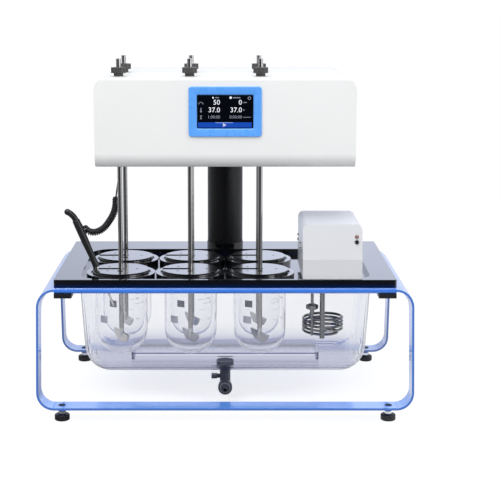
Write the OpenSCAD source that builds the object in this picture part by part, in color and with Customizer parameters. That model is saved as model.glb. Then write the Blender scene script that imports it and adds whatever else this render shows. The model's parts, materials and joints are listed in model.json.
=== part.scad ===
// Dissolution tester: six glass vessels hang in a clear water bath that a bent
// sheet frame carries. A drive head on a telescopic column turns six paddles.
// Millimetres, +Z up, front towards -Y, origin on the bench under the frame's centre.

/* [Frame] */
// Width of the bent sheet frame over its legs
frame_w = 751; // [740:1:780]
// Height of the frame from the underside of its bars to its top sheet
frame_h = 238; // [230:1:260]
// Thickness of the frame's sheet
frame_t = 4.5; // [3:0.5:6]
// Outer radius of the frame's four bends
frame_r = 35; // [32:1:40]
// Depth of the frame over its splayed bars at the bottom
frame_foot_d = 482; // [470:1:520]
// Width of the strips that form the legs and the bars
leg_w = 44; // [38:1:50]
// Radius of the upper corners of the side windows
window_r = 25; // [15:1:35]
// Diameter of the rolled beads along the front and rear edges of the top sheet
bead_d = 14; // [12:0.5:15]

/* [Feet] */
// Diameter of a levelling foot's pad
foot_d = 30; // [24:1:36]
// Height of a foot's pad
foot_pad_h = 12; // [8:1:14]
// Diameter of a foot's stud
stud_d = 8; // [7:0.5:10]
// Length of the weld nut under a bar
weld_nut_h = 13; // [9:0.2:14]
// Wall of the weld nut round its stud
weld_nut_wall = 2.2; // [2:0.1:4]
// Distance of a foot from the frame's outer face, along the bar
foot_inset = 49; // [45:1:70]

/* [Deck] */
// Depth of the deck and of the frame's top sheet
deck_d = 416; // [410:1:430]
// Thickness of the deck's rim
deck_t = 15; // [12:0.5:20]
// Thickness of the deck's sunken floor
deck_floor_t = 3; // [2.5:0.5:5]
// Width of the deck's rim at the left and right
side_rim = 49; // [46:1:52]
// Width of the deck's rim at the front
front_rim = 8; // [6:1:10]
// Depth of the sunken floor, front to back
recess_d = 315; // [310:1:320]
// Corner radius of the sunken floor
recess_r = 45; // [30:1:50]
// Corner radius of the deck's outline
deck_corner_r = 4; // [2:0.5:8]
// Width of a corner clamp block under the deck
clamp_w = 33; // [25:1:40]
// Depth of a corner clamp block
clamp_d = 27; // [20:1:32]
// Height of a corner clamp block
clamp_h = 16; // [10:0.5:18]

/* [Bath] */
// Width of the bath at its top
bath_w = 592; // [580:1:596]
// Distance of the bath's front wall behind the deck's front edge
bath_setback = 17.5; // [17:0.1:18.5]
// Depth of the bath at its top, front to back
bath_d = 294; // [290:1:300]
// Height of the bath from its flange's top to the underside of its floor
bath_h = 189.5; // [184:0.5:194]
// Wall of the bath
bath_wall = 4; // [3:0.5:4.5]
// Radius of the bath's rounded bottom edges
bath_r = 54; // [48:1:58]
// Taper of the bath's side walls, degrees
bath_draft_x = 3.5; // [2.5:0.5:4.5]
// Taper of the bath's front and rear walls, degrees
bath_draft_y = 3; // [1:0.5:3.5]
// Thickness of the bath's flange between frame and deck
bath_flange_t = 5; // [4:0.5:6]
// Width of the bath's flange
bath_flange_w = 14; // [10:1:16]
// Width of the raised pad in the bath's floor
floor_pad_w = 394; // [350:1:400]
// Depth of the raised pad
floor_pad_d = 112; // [90:1:120]
// Height of the raised pad above the bath's underside
floor_pad_h = 20; // [14:1:22]

/* [Stirring places] */
// Distance between neighbouring vessels, in both directions
pitch = 142; // [141:0.5:144]
// Distance of the front row of vessels behind the deck's front edge
row_setback = 85; // [83:0.5:88]
// Diameter of the ring that centres a vessel in the deck
ring_d = 140; // [134:1:140]
// Height of the ring
ring_h = 11; // [10:0.5:13]
// Height of the seat for the vessel's flange above the ring's underside
ring_seat_h = 5; // [4:0.5:6]

/* [Vessels] */
// Outer diameter of a glass vessel
vessel_d = 107; // [104:0.5:108]
// Wall of a vessel
vessel_wall = 2.5; // [2:0.1:3]
// Length of a vessel from its flange's top to the outside of its round bottom
vessel_l = 168; // [160:1:171]
// Diameter of a vessel's flange
vessel_flange_d = 121; // [118:0.5:124]
// Thickness of a vessel's flange
vessel_flange_t = 4; // [3:0.5:5]

/* [Lids] */
// Diameter of a vessel's lid
lid_d = 115; // [112:1:117]
// Thickness of a lid's disc
lid_t = 7.7; // [6:0.1:10]
// Depth of the plug under a lid, which locates it in the vessel
lid_plug_h = 5; // [3:0.5:8]
// Radial room between a lid's plug and the vessel
lid_plug_gap = 2; // [1.5:0.1:3]
// Width of the slot that lets a lid pass the shaft
slot_w = 14; // [11:0.1:15]
// Distance of the small ports from a lid's centre
port_r = 33; // [28:0.5:36]
// Distance of the sampling port from a lid's centre
sampling_r = 23; // [20:0.5:28]
// Diameter of a lid's sampling port
port_d = 12; // [10:0.5:14]
// Diameter of a lid's small ports
small_port_d = 5; // [4:0.5:7]

/* [Paddles] */
// Diameter of a paddle's shaft
shaft_d = 9.8; // [9.4:0.1:10.1]
// Height of a blade's lower edge above the inside of the vessel
paddle_gap = 23; // [21:0.5:27]
// Width of a blade at its upper edge
blade_w = 74.5; // [70:0.5:76]
// Height of a blade
blade_h = 19; // [18:0.5:20]
// Thickness of a blade
blade_t = 4; // [3:0.5:5]
// Radius of the arcs that form a blade's ends
blade_arc_r = 41.5; // [40:0.5:43]
// Length of shaft that stands above its clamp knob
shaft_over = 17.5; // [14:0.5:28]

/* [Head] */
// Width of the drive head
head_w = 517; // [510:1:560]
// Depth of the drive head
head_d = 400; // [390:1:420]
// Height of the drive head
head_h = 178.5; // [172:0.5:190]
// Height of the head's underside above the deck
head_clear = 218.5; // [212:0.5:240]
// Distance of the head's front face behind the deck's front edge
head_setback = 33; // [28:1:36]
// Wall of the head's cover
head_wall = 3; // [2.5:0.5:4]
// Radius of the head's upper side edges
head_top_r = 25; // [20:1:30]
// Radius of the head's lower front edge
head_chin_r = 27; // [22:1:32]
// Radius of the head's upper front and rear edges
head_brow_r = 5; // [4:0.5:10]
// Width of the cover's lip round the base plate
base_lip = 7; // [6:0.5:9]

/* [Drive] */
// Outer diameter of a hollow spindle
spindle_d = 16; // [15:0.5:18]
// Outer diameter of a spindle's ball bearings
bearing_d = 30; // [28:1:34]
// Height of a bearing
bearing_h = 10; // [8:0.5:12]
// Radius of the belt pulleys
pulley_r = 20; // [16:0.5:21]
// Width of the belt and its pulleys
belt_h = 12; // [9:0.5:14]
// Thickness of the belt
belt_t = 1.6; // [1.2:0.1:2.5]
// Height of the belt's lower edge above the head's underside
belt_z = 81; // [78:1:100]
// Diameter of the drive motor
motor_d = 64; // [56:1:70]
// Height of the drive motor
motor_h = 68; // [60:1:70]
// Diameter of the motor's shaft
motor_shaft_d = 8; // [6:0.5:10]
// Distance of the motor to the right of the last spindle column
motor_reach = 109; // [100:1:130]
// Diameter of a shaft clamp knob
knob_d = 30; // [28:0.5:34]
// Height of a shaft clamp knob
knob_h = 11; // [9:0.5:14]
// Height of a knob's underside above the head
knob_lift = 7; // [5:0.5:9]
// Length of spindle inside a knob
spindle_grip = 6; // [5:0.5:7]
// Number of finger flutes round a knob
knob_flutes = 10; // [6:1:14]
// Diameter of a knob's flutes
flute_d = 5; // [4:0.5:6]

/* [Column] */
// Outer diameter of the column tube that hangs from the head
column_d = 78; // [74:1:82]
// Diameter of the inner column tube that stands on the frame
column_inner_d = 70; // [66:0.5:71]
// Wall of the inner tube
column_inner_wall = 4; // [3:0.5:6]
// Distance of the column's axis in front of the deck's rear edge
column_setback = 50; // [48:1:52]
// Wall of the collar on the deck round the column
collar_wall = 5.5; // [4:0.5:6]
// Height of the collar
collar_h = 12; // [8:1:16]
// Distance of the inner tube's top below the head's top
column_inner_drop = 40; // [30:1:60]

/* [Screen] */
// Width of the screen's bezel
bezel_w = 144; // [138:1:150]
// Height of the bezel
bezel_h = 99; // [95:1:106]
// Thickness of the bezel
bezel_t = 4; // [3:0.5:6]
// Corner radius of the bezel
bezel_r = 6; // [3:0.5:10]
// Width of the screen
screen_w = 110; // [106:1:116]
// Height of the screen
screen_h = 65; // [62:1:70]
// Depth of the screen's module
screen_t = 23; // [16:1:24]
// Height of the bezel's centre above the head's underside
bezel_z = 112.5; // [106:0.5:116]

/* [Heater] */
// Width of the heater and circulator unit
heater_w = 118; // [112:1:120]
// Height of the unit above the deck
heater_h = 108; // [100:1:120]
// Depth of the unit behind its panel
heater_d = 181; // [170:1:190]
// Thickness of the unit's front panel
panel_t = 5.5; // [4:0.5:6]
// Height of the crease in the panel above the deck
crease_h = 40; // [30:1:50]
// Lean of the panel above its crease, degrees
panel_lean = 12; // [6:0.5:14]
// Radius of the unit's upper side edges
heater_r = 11; // [8:0.5:16]
// Wall of the unit's case
heater_wall = 3; // [2.5:0.5:4]
// Distance of the unit's plinth inside its outline
plinth_inset = 5; // [4:0.5:8]
// Mean radius of the heating coil
coil_r = 41; // [38:0.5:43]
// Diameter of the coil's tube
coil_tube_d = 5.6; // [5:0.1:6]
// Height of one turn of the coil
coil_pitch = 7.7; // [7.2:0.1:8]
// Number of turns of the coil
coil_turns = 4.78; // [3.78:1:4.78]
// Height of the coil's lowest turn above the bath's underside
coil_z = 61; // [56:1:66]
// Radius of the bends from the coil into its legs
coil_bend_r = 8; // [6:0.5:9]
// Diameter of the pump's tube
pump_tube_d = 10.5; // [10:0.1:12]
// Wall of the pump's tube
pump_tube_wall = 1; // [0.8:0.1:1.2]
// Length of the pump's tube below the deck's floor
pump_tube_l = 131; // [122:1:134]
// Diameter of the pump's motor
pump_motor_d = 44; // [38:1:48]
// Height of the pump's motor
pump_motor_h = 55; // [45:1:60]
// Diameter of the rod with the temperature sensor
sensor_d = 6; // [5:0.5:7]
// Diameter of the fitting on the sensor's rod
sensor_fitting_d = 13; // [11:0.5:15]
// Height of the fitting
sensor_fitting_h = 22; // [16:1:26]
// Distance of the fitting's lower end below the deck's floor
sensor_fitting_drop = 86; // [76:1:96]
// Diameter of the indicator lamp
lamp_d = 7; // [6:0.5:8]
// Height of the lamp above the deck
lamp_h = 84; // [72:1:85]
// Distance of the lamp and button from the unit's right side
lamp_inset = 11; // [10:0.5:16]
// Diameter of the heater's push button
button_d = 7.6; // [7:0.2:9]
// Distance between lamp and button
button_pitch = 10; // [9.5:0.5:13]
// Distance the button and lamp stand proud of the panel
button_proud = 2.4; // [2.2:0.1:3]

/* [Drain valve] */
// Distance of the drain behind the deck's front edge
drain_setback = 108; // [104:1:112]
// Diameter of the valve's stem through the bath's floor
stem_d = 16; // [14:0.5:18]
// Diameter of the nut and flange that clamp the bath's floor
drain_flange_d = 36; // [32:1:38]
// Thickness of the nut and of the flange
drain_flange_t = 7; // [5:0.5:8]
// Diameter of the valve's body
valve_d = 22; // [19:1:24]
// Height of the valve's body below its flange
valve_h = 44; // [42:1:48]
// Height of the outlet's axis above the body's lower end
outlet_rise = 9; // [7:0.5:10]
// Diameter of the union nut on the outlet
outlet_nut_d = 29; // [26:0.5:30]
// Length of the union nut
outlet_nut_l = 14; // [10:1:18]
// Diameter of the hose spigot
spigot_d = 10; // [8:0.5:12]
// Length of the hose spigot
spigot_l = 16; // [12:1:20]
// Distance of the lever's pivot below the valve's flange
lever_drop = 16; // [15:0.5:17]
// Length of the valve's lever
lever_l = 30; // [24:1:32]
// Height of the valve's lever
lever_h = 9; // [7:0.5:10]
// Thickness of the lever's grip
lever_t = 9; // [6:0.5:11]

/* [Probe] */
// Lean of the temperature probe from the vertical, degrees
probe_lean = 23; // [21:0.5:24]
// Length of the probe's handle up to its seam
probe_l = 105; // [98:1:107]
// Largest diameter of the handle
probe_d = 15.6; // [14:0.2:16]
// Diameter of the handle's waist
probe_waist_d = 12.8; // [11:0.2:13.4]
// Diameter of the handle's bent end
probe_elbow_d = 12.4; // [11:0.2:13]
// Bend radius of the handle's end
probe_elbow_r = 24; // [18:1:28]
// Diameter of the steel stem
probe_stem_d = 4; // [3:0.5:5]
// Length of the steel stem below the handle
probe_stem_l = 88; // [70:1:90]
// Diameter of the cord's wire
wire_d = 3.2; // [2.8:0.1:3.2]
// Outer diameter of the curly cord
curl_d = 15; // [13:0.5:15]
// Number of curls of the cord
curls = 24; // [18:1:24]

/* [Clearances] */
// Running clearance round shafts and tubes, on the radius
run_gap = 0.05; // [0.02:0.01:0.1]
// Clearance between pieces that move past each other
move_gap = 0.3; // [0.2:0.05:0.5]
// Clearance between a fixed piece and its seat
seat_gap = 0.2; // [0.1:0.05:0.3]

/* [Hidden] */
$fn = 64;
eps = 0.01;

// Heights of the main levels
foot_gap = 0.4;
frame_z = foot_pad_h + foot_gap + weld_nut_h;
frame_top = frame_z + frame_h;
deck_z = frame_top + bath_flange_t;
deck_top = deck_z + deck_t;
floor_z = deck_z + deck_floor_t;
head_z = deck_top + head_clear;
head_top = head_z + head_h;
bath_z = deck_z - bath_h;

// Plan of the frame and deck
front_y = -deck_d / 2;
rear_y = deck_d / 2;
deck_w = frame_w - 2 * frame_r;
splay = (frame_foot_d - deck_d) / 2 / frame_h;
recess_w = deck_w - 2 * side_rim;
recess_y = front_y + front_rim + recess_d / 2;
bath_y = front_y + bath_setback + bath_d / 2;
bath_flange_front = front_y + bead_d + seat_gap;
column_y = rear_y - column_setback;
head_front = front_y + head_setback;
head_y = head_front + head_d / 2;

// Six stirring places, numbered from the front left
function place(i) = [((i - 1) % 3 - 1.5) * pitch, front_y + row_setback + floor((i - 1) / 3) * pitch];
paddle_turn = -63;

// Vessel, ring and lid levels
vessel_top = floor_z + ring_seat_h + vessel_flange_t;
vessel_r = vessel_d / 2;
vessel_bore_r = vessel_r - vessel_wall;
vessel_z = vessel_top - vessel_l;
lid_z = vessel_top + move_gap;
lid_top = lid_z + lid_t;
ring_gap = 0.5;
paddle_z = vessel_z + vessel_wall + paddle_gap;

// Spindles, knobs and shafts
shaft_r = shaft_d / 2;
spindle_r = spindle_d / 2;
knob_z = head_top + knob_lift;
spindle_top = knob_z + spindle_grip;
spindle_z = head_z + move_gap;
shaft_top = knob_z + knob_h + shaft_over;
pulley_z = head_z + belt_z;
motor_at = [place(3).x + motor_reach, place(1).y + pitch / 2];

// Heater unit
heater_x = 1.5 * pitch;
panel_front = front_y + 3;
case_front = panel_front + panel_t;
heater_top = deck_top + heater_h;
crease_z = deck_top + crease_h;
lean_run = (heater_h - crease_h) * tan(panel_lean);
case_rear = case_front + heater_d;
coil_at = [heater_x - 8, place(1).y + 65];
coil_foot = bath_z + coil_z;
pump_at = [heater_x - 13, coil_at.y - coil_r - coil_tube_d - pump_tube_d / 2 - 4];
sensor_at = [heater_x - 34, pump_at.y];
rotor_r = 1.5;
heater_cut_w = 94;
heater_cut_d = 120;
heater_cut_r = 10;
heater_cut_y = coil_at.y + coil_r - 8 - heater_cut_d / 2;
lamp_at = [heater_x + heater_w / 2 - lamp_inset, deck_top + lamp_h];

// Drain valve
drain_y = front_y + drain_setback;
valve_top = bath_z - drain_flange_t;
outlet_z = valve_top - valve_h + outlet_rise;
outlet_y = drain_y - valve_d / 2;
lever_z = valve_top - lever_drop;
lever_pivot_r = 3;
lever_hub = 6;

// Probe: the axis leans over lid 1 in the plane of the front row
probe_dir = [-sin(probe_lean), 0, cos(probe_lean)];
probe_foot = [place(1).x - lid_d / 2 + 8, place(1).y, lid_top + probe_d / 2 * sin(probe_lean) + 1];
probe_seam = probe_foot + probe_l * probe_dir;
relief_from = probe_seam + [0, 3, 0] - 2 * probe_dir;
relief_dir = [0.59, 0.47, -0.66];
relief_l = 16;
relief_r = 5.6;
cord_start = relief_from + relief_l * relief_dir;
gland_h = 10;
gland_at = [place(1).x - 3, place(1).y + 48, head_z - gland_h];

// Two-dimensional and small solid helpers

module rounded_rect(w, d, r) {
    square([w - 2 * r, d], center = true);
    square([w, d - 2 * r], center = true);
    for (x = [-1, 1], y = [-1, 1]) {
        translate([x * (w / 2 - r), y * (d / 2 - r)]) circle(r);
    }
}

// Rectangle standing on y = 0 with only its upper corners rounded
module round_top(w, h, r) {
    translate([-w / 2, 0]) square([w, h - r]);
    translate([-w / 2 + r, 0]) square([w - 2 * r, h]);
    for (x = [-1, 1]) {
        translate([x * (w / 2 - r), h - r]) circle(r);
    }
}

module slab(w, d, r, z0, z1) {
    translate([0, 0, z0]) linear_extrude(z1 - z0) rounded_rect(w, d, r);
}

// Solid of a front-view outline, running from y0 to y1
module along_y(y0, y1) {
    translate([0, y1, 0]) rotate([90, 0, 0]) linear_extrude(y1 - y0) children();
}

// Solid of a side-view outline, with x across as Y and y up as Z
module along_x(x0, x1) {
    translate([x0, 0, 0]) rotate([90, 0, 90]) linear_extrude(x1 - x0) children();
}

module rod(p, q, r1, r2) {
    v = q - p;
    l = norm(v);
    translate(p)
        rotate([0, acos(v.z / l), atan2(v.y, v.x)])
            cylinder(h = l, r1 = r1, r2 = r2);
}

module bored(r, bore, h) {
    difference() {
        cylinder(h = h, r = r);
        translate([0, 0, -1]) cylinder(h = h + 2, r = bore);
    }
}

module capsule(p, q, r) {
    v = q - p;
    translate(p) {
        circle(r);
        rotate(atan2(v.y, v.x)) translate([0, -r]) square([norm(v), 2 * r]);
    }
    translate(q) circle(r);
}

// Round tube of a given radius swept along a list of points
function unit(v) = v / norm(v);
function tangent(p, i) = unit(p[min(i + 1, len(p) - 1)] - p[max(i - 1, 0)]);
function across(n, t) = unit(n - (n * t) * t);
function frames(p, n0) = [
    for (i = 0, n = across(n0, tangent(p, 0)); i < len(p);
         i = i + 1, n = i < len(p) ? across(n, tangent(p, i)) : n) n
];

module swept_tube(p, r, sides, n0) {
    count = len(p);
    normals = frames(p, n0);
    ring_points = [
        for (i = [0:count - 1])
            let (t = tangent(p, i), n = normals[i], b = cross(t, n))
            for (k = [0:sides - 1])
                p[i] + r * (cos(360 * k / sides) * n + sin(360 * k / sides) * b)
    ];
    last = (count - 1) * sides;
    walls = [
        for (i = [0:count - 2], k = [0:sides - 1])
            let (a = i * sides + k, b = i * sides + (k + 1) % sides)
            each [[a, a + sides, b], [b, a + sides, b + sides]]
    ];
    caps = [
        for (k = [1:sides - 2])
            each [[0, k, k + 1], [last, last + k + 1, last + k]]
    ];
    polyhedron(ring_points, concat(walls, caps));
}

// Frame, feet and deck

module frame_window() {
    half = frame_foot_d / 2 - leg_w;
    top = frame_top - frame_r;
    lean = atan(splay);
    cz = top - window_r;
    cy = half - splay * (cz - frame_z) - window_r / cos(lean);
    side = [cy + window_r * cos(lean), cz + window_r * sin(lean)];
    low = half + splay * 2;
    polygon([
        [-low, frame_z - 2], [low, frame_z - 2], side, [cy, top], [-cy, top], [-side.x, side.y]
    ]);
    for (s = [-1, 1]) {
        translate([s * cy, cz]) circle(window_r);
    }
}

foot_x = frame_w / 2 - foot_inset;
foot_y = frame_foot_d / 2 - leg_w / 2;
function foot_at(i) = [((i - 1) % 2 * 2 - 1) * foot_x, (floor((i - 1) / 2) * 2 - 1) * foot_y];

module frame() color([0.16, 0.42, 0.86]) {
    half_top = deck_d / 2;
    half_foot = frame_foot_d / 2;
    bead_x = deck_w / 2;
    difference() {
        union() {
            intersection() {
                translate([0, 0, frame_z + frame_h / 2])
                    along_y(-half_foot, half_foot)
                        difference() {
                            rounded_rect(frame_w, frame_h, frame_r);
                            rounded_rect(frame_w - 2 * frame_t, frame_h - 2 * frame_t, frame_r - frame_t);
                        }
                along_x(-frame_w / 2, frame_w / 2)
                    polygon([
                        [-half_foot, frame_z], [half_foot, frame_z],
                        [half_top, frame_top], [-half_top, frame_top]
                    ]);
            }
            for (s = [-1, 1]) {
                translate([-bead_x, s * (half_top - bead_d / 2), deck_z - bead_d / 2])
                    rotate([0, 90, 0]) cylinder(h = 2 * bead_x, r = bead_d / 2);
            }
            for (i = [1:4]) {
                translate([foot_at(i).x, foot_at(i).y, frame_z - weld_nut_h])
                    cylinder(h = weld_nut_h + eps, r = stud_d / 2 + weld_nut_wall);
            }
        }
        along_x(-frame_w / 2 - 1, frame_w / 2 + 1) frame_window();
        translate([0, bath_y, 0])
            slab(bath_w + 2 * seat_gap, bath_d + 2 * seat_gap, bath_r, frame_top - frame_t - 1, frame_top + 1);
        for (i = [1:4]) {
            translate([foot_at(i).x, foot_at(i).y, frame_z - weld_nut_h - 1])
                cylinder(h = weld_nut_h + frame_t + 2, r = stud_d / 2 + run_gap);
        }
    }
}

module foot(i) color([0.06, 0.06, 0.07]) {
    edge = 1.5;
    translate([foot_at(i).x, foot_at(i).y, 0]) {
        cylinder(h = edge, r1 = foot_d / 2 - edge, r2 = foot_d / 2);
        translate([0, 0, edge]) cylinder(h = foot_pad_h - 2 * edge, r = foot_d / 2);
        translate([0, 0, foot_pad_h - edge])
            cylinder(h = edge, r1 = foot_d / 2, r2 = foot_d / 2 - edge);
        cylinder(h = frame_z + frame_t, r = stud_d / 2);
    }
}

module deck() color([0.05, 0.05, 0.06]) {
    hole_gap = 2.5;
    difference() {
        union() {
            slab(deck_w, deck_d, deck_corner_r, deck_z, deck_top);
            translate([0, column_y, deck_z])
                cylinder(h = deck_t + collar_h, r = column_inner_d / 2 + collar_wall);
        }
        translate([0, recess_y, 0]) slab(recess_w, recess_d, recess_r, floor_z, deck_top + 1);
        for (i = [1:6]) {
            translate([place(i).x, place(i).y, deck_z - 1])
                cylinder(h = deck_floor_t + 2, r = vessel_r + hole_gap);
        }
        translate([heater_x, heater_cut_y, 0])
            slab(heater_cut_w, heater_cut_d, heater_cut_r, deck_z - 1, floor_z + 1);
        translate([0, column_y, deck_z - 1])
            cylinder(h = deck_t + collar_h + 2, r = column_inner_d / 2 + seat_gap);
    }
}

module deck_clamps() color([0.05, 0.05, 0.06]) {
    for (x = [-1, 1], y = [-1, 1]) {
        translate([
            x * (deck_w / 2 - clamp_w / 2),
            y * (deck_d / 2 - bead_d - seat_gap - clamp_d / 2),
            0
        ])
            slab(clamp_w, clamp_d, 2, frame_top - frame_t - clamp_h, frame_top - frame_t);
    }
}

// Bath, vessels and rings

// Tapered tub with round bottom edges, drawn in by wall on every side
module tub(wall) {
    drop = bath_h - bath_r;
    half_w = bath_w / 2 - drop * tan(bath_draft_x) - bath_r;
    half_d = bath_d / 2 - drop * tan(bath_draft_y) - bath_r;
    hull() {
        slab(bath_w - 2 * wall, bath_d - 2 * wall, bath_r - wall, deck_z - eps, deck_z);
        for (x = [-1, 1], y = [-1, 1]) {
            translate([x * half_w, y * half_d, bath_z + bath_r]) sphere(bath_r - wall, $fn = 36);
        }
    }
}

module bath() color([0.85, 0.9, 0.97, 0.35]) {
    pad_r = 10;
    pad_y = drain_y + drain_flange_d / 2 + 8 + floor_pad_d / 2;
    flange_back = bath_y + bath_d / 2 + bath_flange_w;
    flange_d = flange_back - bath_flange_front;
    difference() {
        union() {
            difference() {
                translate([0, bath_y, 0]) tub(0);
                translate([0, bath_y, 0]) tub(bath_wall);
                translate([0, bath_y, 0])
                    slab(bath_w - 2 * bath_wall, bath_d - 2 * bath_wall, bath_r - bath_wall,
                         deck_z - 2 * eps, deck_z + 1);
            }
            translate([0, pad_y, 0])
                slab(floor_pad_w, floor_pad_d, pad_r, bath_z + bath_wall / 2, bath_z + floor_pad_h);
            difference() {
                translate([0, bath_flange_front + flange_d / 2, 0])
                    slab(bath_w + 2 * bath_flange_w, flange_d, bath_r, frame_top, deck_z);
                translate([0, bath_y, 0])
                    slab(bath_w - 2 * bath_wall, bath_d - 2 * bath_wall, bath_r - bath_wall,
                         frame_top - 1, deck_z + 1);
            }
        }
        translate([0, pad_y, 0])
            slab(floor_pad_w - 2 * bath_wall, floor_pad_d - 2 * bath_wall, pad_r - bath_wall,
                 bath_z - 1, bath_z + floor_pad_h - bath_wall);
        translate([0, drain_y, bath_z - 1]) cylinder(h = bath_wall + 2, r = stem_d / 2 + seat_gap);
    }
}

module vessel_outline(r, z0, z1) {
    translate([0, z0 + r]) square([r, z1 - z0 - r]);
    intersection() {
        translate([0, z0 + r]) circle(r);
        translate([0, z0]) square([r, r]);
    }
}

module vessel() {
    rotate_extrude() difference() {
        union() {
            vessel_outline(vessel_r, vessel_z, vessel_top);
            translate([0, vessel_top - vessel_flange_t]) square([vessel_flange_d / 2, vessel_flange_t]);
        }
        vessel_outline(vessel_bore_r, vessel_z + vessel_wall, vessel_top + 1);
    }
}

module vessels() color([0.9, 0.93, 0.96, 0.4]) {
    for (i = [1:6]) {
        translate([place(i).x, place(i).y, 0]) vessel();
    }
}

module vessel_rings() color([0.05, 0.05, 0.06]) {
    for (i = [1:6]) {
        translate([place(i).x, place(i).y, floor_z]) difference() {
            cylinder(h = ring_h, r = ring_d / 2);
            translate([0, 0, -1]) cylinder(h = ring_h + 2, r = vessel_r + ring_gap);
            translate([0, 0, ring_seat_h]) cylinder(h = ring_h, r = vessel_flange_d / 2 + ring_gap);
        }
    }
}

module lid(i) color([0.05, 0.05, 0.06]) {
    small_ports = [0, 90, 140, 220];
    plug_z = lid_z - lid_plug_h;
    translate([place(i).x, place(i).y, 0]) difference() {
        union() {
            translate([0, 0, lid_z]) cylinder(h = lid_t, r = lid_d / 2);
            translate([0, 0, plug_z]) cylinder(h = lid_plug_h + eps, r = vessel_bore_r - lid_plug_gap);
        }
        translate([0, 0, plug_z - 1]) {
            cylinder(h = lid_t + lid_plug_h + 2, r = slot_w / 2);
            translate([-lid_d, -slot_w / 2, 0]) cube([lid_d, slot_w, lid_t + lid_plug_h + 2]);
            translate([0, -sampling_r, 0]) cylinder(h = lid_t + lid_plug_h + 2, r = port_d / 2);
            for (a = small_ports) {
                rotate(a) translate([port_r, 0, 0])
                    cylinder(h = lid_t + lid_plug_h + 2, r = small_port_d / 2);
            }
        }
    }
}

// Paddles and drive

module shaft(i) color([0.75, 0.75, 0.74]) {
    arc_centre = blade_h + sqrt(pow(blade_arc_r, 2) - pow(blade_w / 2, 2));
    translate([place(i).x, place(i).y, 0]) {
        translate([0, 0, paddle_z + blade_h / 2])
            cylinder(h = shaft_top - paddle_z - blade_h / 2, r = shaft_r);
        rotate(paddle_turn)
            translate([0, 0, paddle_z])
                along_y(-blade_t / 2, blade_t / 2)
                    intersection() {
                        translate([-blade_w / 2, 0]) square([blade_w, blade_h]);
                        translate([0, arc_centre]) circle(blade_arc_r);
                    }
    }
}

module spindle(i) color([0.7, 0.7, 0.72]) {
    translate([place(i).x, place(i).y, 0]) difference() {
        union() {
            translate([0, 0, spindle_z]) cylinder(h = spindle_top - spindle_z, r = spindle_r);
            translate([0, 0, pulley_z]) cylinder(h = belt_h, r = pulley_r);
        }
        translate([0, 0, spindle_z - 1])
            cylinder(h = spindle_top - spindle_z + 2, r = shaft_r + run_gap);
    }
}

module knob(i) color([0.22, 0.22, 0.23]) {
    flute_out = 1;
    skirt_wall = 1.5;
    skirt_h = knob_lift - 2 * move_gap;
    translate([place(i).x, place(i).y, knob_z]) difference() {
        union() {
            cylinder(h = knob_h, r = knob_d / 2);
            translate([0, 0, -skirt_h]) cylinder(h = skirt_h + eps, r = spindle_r + skirt_wall);
        }
        translate([0, 0, -skirt_h - 1])
            cylinder(h = spindle_grip + skirt_h + 1 + move_gap, r = spindle_r + run_gap);
        cylinder(h = knob_h + 1, r = shaft_r + move_gap);
        for (k = [1:knob_flutes]) {
            rotate(360 * k / knob_flutes)
                translate([knob_d / 2 + flute_out, 0, -1]) cylinder(h = knob_h + 2, r = flute_d / 2);
        }
    }
}

module spindle_bearings() color([0.6, 0.6, 0.62]) {
    upper_z = head_top - head_wall - bearing_h;
    for (i = [1:6], z = [head_z + head_wall, upper_z]) {
        translate([place(i).x, place(i).y, z]) bored(bearing_d / 2, spindle_r + run_gap, bearing_h);
    }
}

module belt_outline(r) {
    loop = [place(1), place(3), motor_at, place(6), place(4)];
    polygon(loop);
    for (k = [0:4]) {
        capsule(loop[k], loop[(k + 1) % 5], r);
    }
}

module drive_belt() color([0.08, 0.08, 0.08]) {
    belt_r = pulley_r + seat_gap;
    translate([0, 0, pulley_z]) linear_extrude(belt_h) difference() {
        belt_outline(belt_r + belt_t);
        belt_outline(belt_r);
    }
}

module drive_motor() color([0.2, 0.2, 0.22]) {
    translate([motor_at.x, motor_at.y, head_z + head_wall]) difference() {
        cylinder(h = motor_h, r = motor_d / 2);
        translate([0, 0, motor_h / 2]) cylinder(h = motor_h, r = motor_shaft_d / 2 + run_gap);
    }
}

module motor_pulley() color([0.7, 0.7, 0.72]) {
    shaft_foot = head_z + head_wall + motor_h / 2 + move_gap;
    translate([motor_at.x, motor_at.y, 0]) {
        translate([0, 0, shaft_foot])
            cylinder(h = pulley_z + belt_h - shaft_foot, r = motor_shaft_d / 2);
        translate([0, 0, pulley_z]) cylinder(h = belt_h, r = pulley_r);
    }
}

// Head

// Outline of the head from the front, with square lower corners
module head_front_view(wall) {
    translate([0, head_z + wall])
        round_top(head_w - 2 * wall, head_h - 2 * wall, head_top_r - wall);
}

// Outline of the head from the side, with its rounded chin at the front
module head_side_view(wall) {
    y0 = head_front + wall;
    y1 = head_front + head_d - wall;
    z0 = head_z + wall;
    z1 = head_top - wall;
    chin = head_chin_r - wall;
    brow = head_brow_r - wall;
    translate([y0 + chin, z0]) square([y1 - y0 - chin - brow, z1 - z0]);
    translate([y0, z0 + chin]) square([y1 - y0, z1 - z0 - chin - brow]);
    translate([y0 + chin, z0 + chin]) circle(chin);
    translate([y1 - brow, z0]) square([brow, chin + brow]);
    translate([y0 + brow, z1 - brow]) square([y1 - y0 - 2 * brow, brow]);
    for (y = [y0 + brow, y1 - brow]) {
        translate([y, z1 - brow]) circle(brow);
    }
}

module head_block(wall) {
    intersection() {
        along_y(head_front - 1, head_front + head_d + 1) head_front_view(wall);
        along_x(-head_w / 2 - 1, head_w / 2 + 1) head_side_view(wall);
    }
}

base_w = head_w - 2 * base_lip;
base_front = head_front + head_chin_r + 1;
base_d = head_front + head_d - base_lip - base_front;
base_y = base_front + base_d / 2;

inlet_w = 48;
inlet_h = 30;
inlet_d = 26;
inlet_x = 150;
inlet_z = head_z + 42;
inlet_r = 4;

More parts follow.
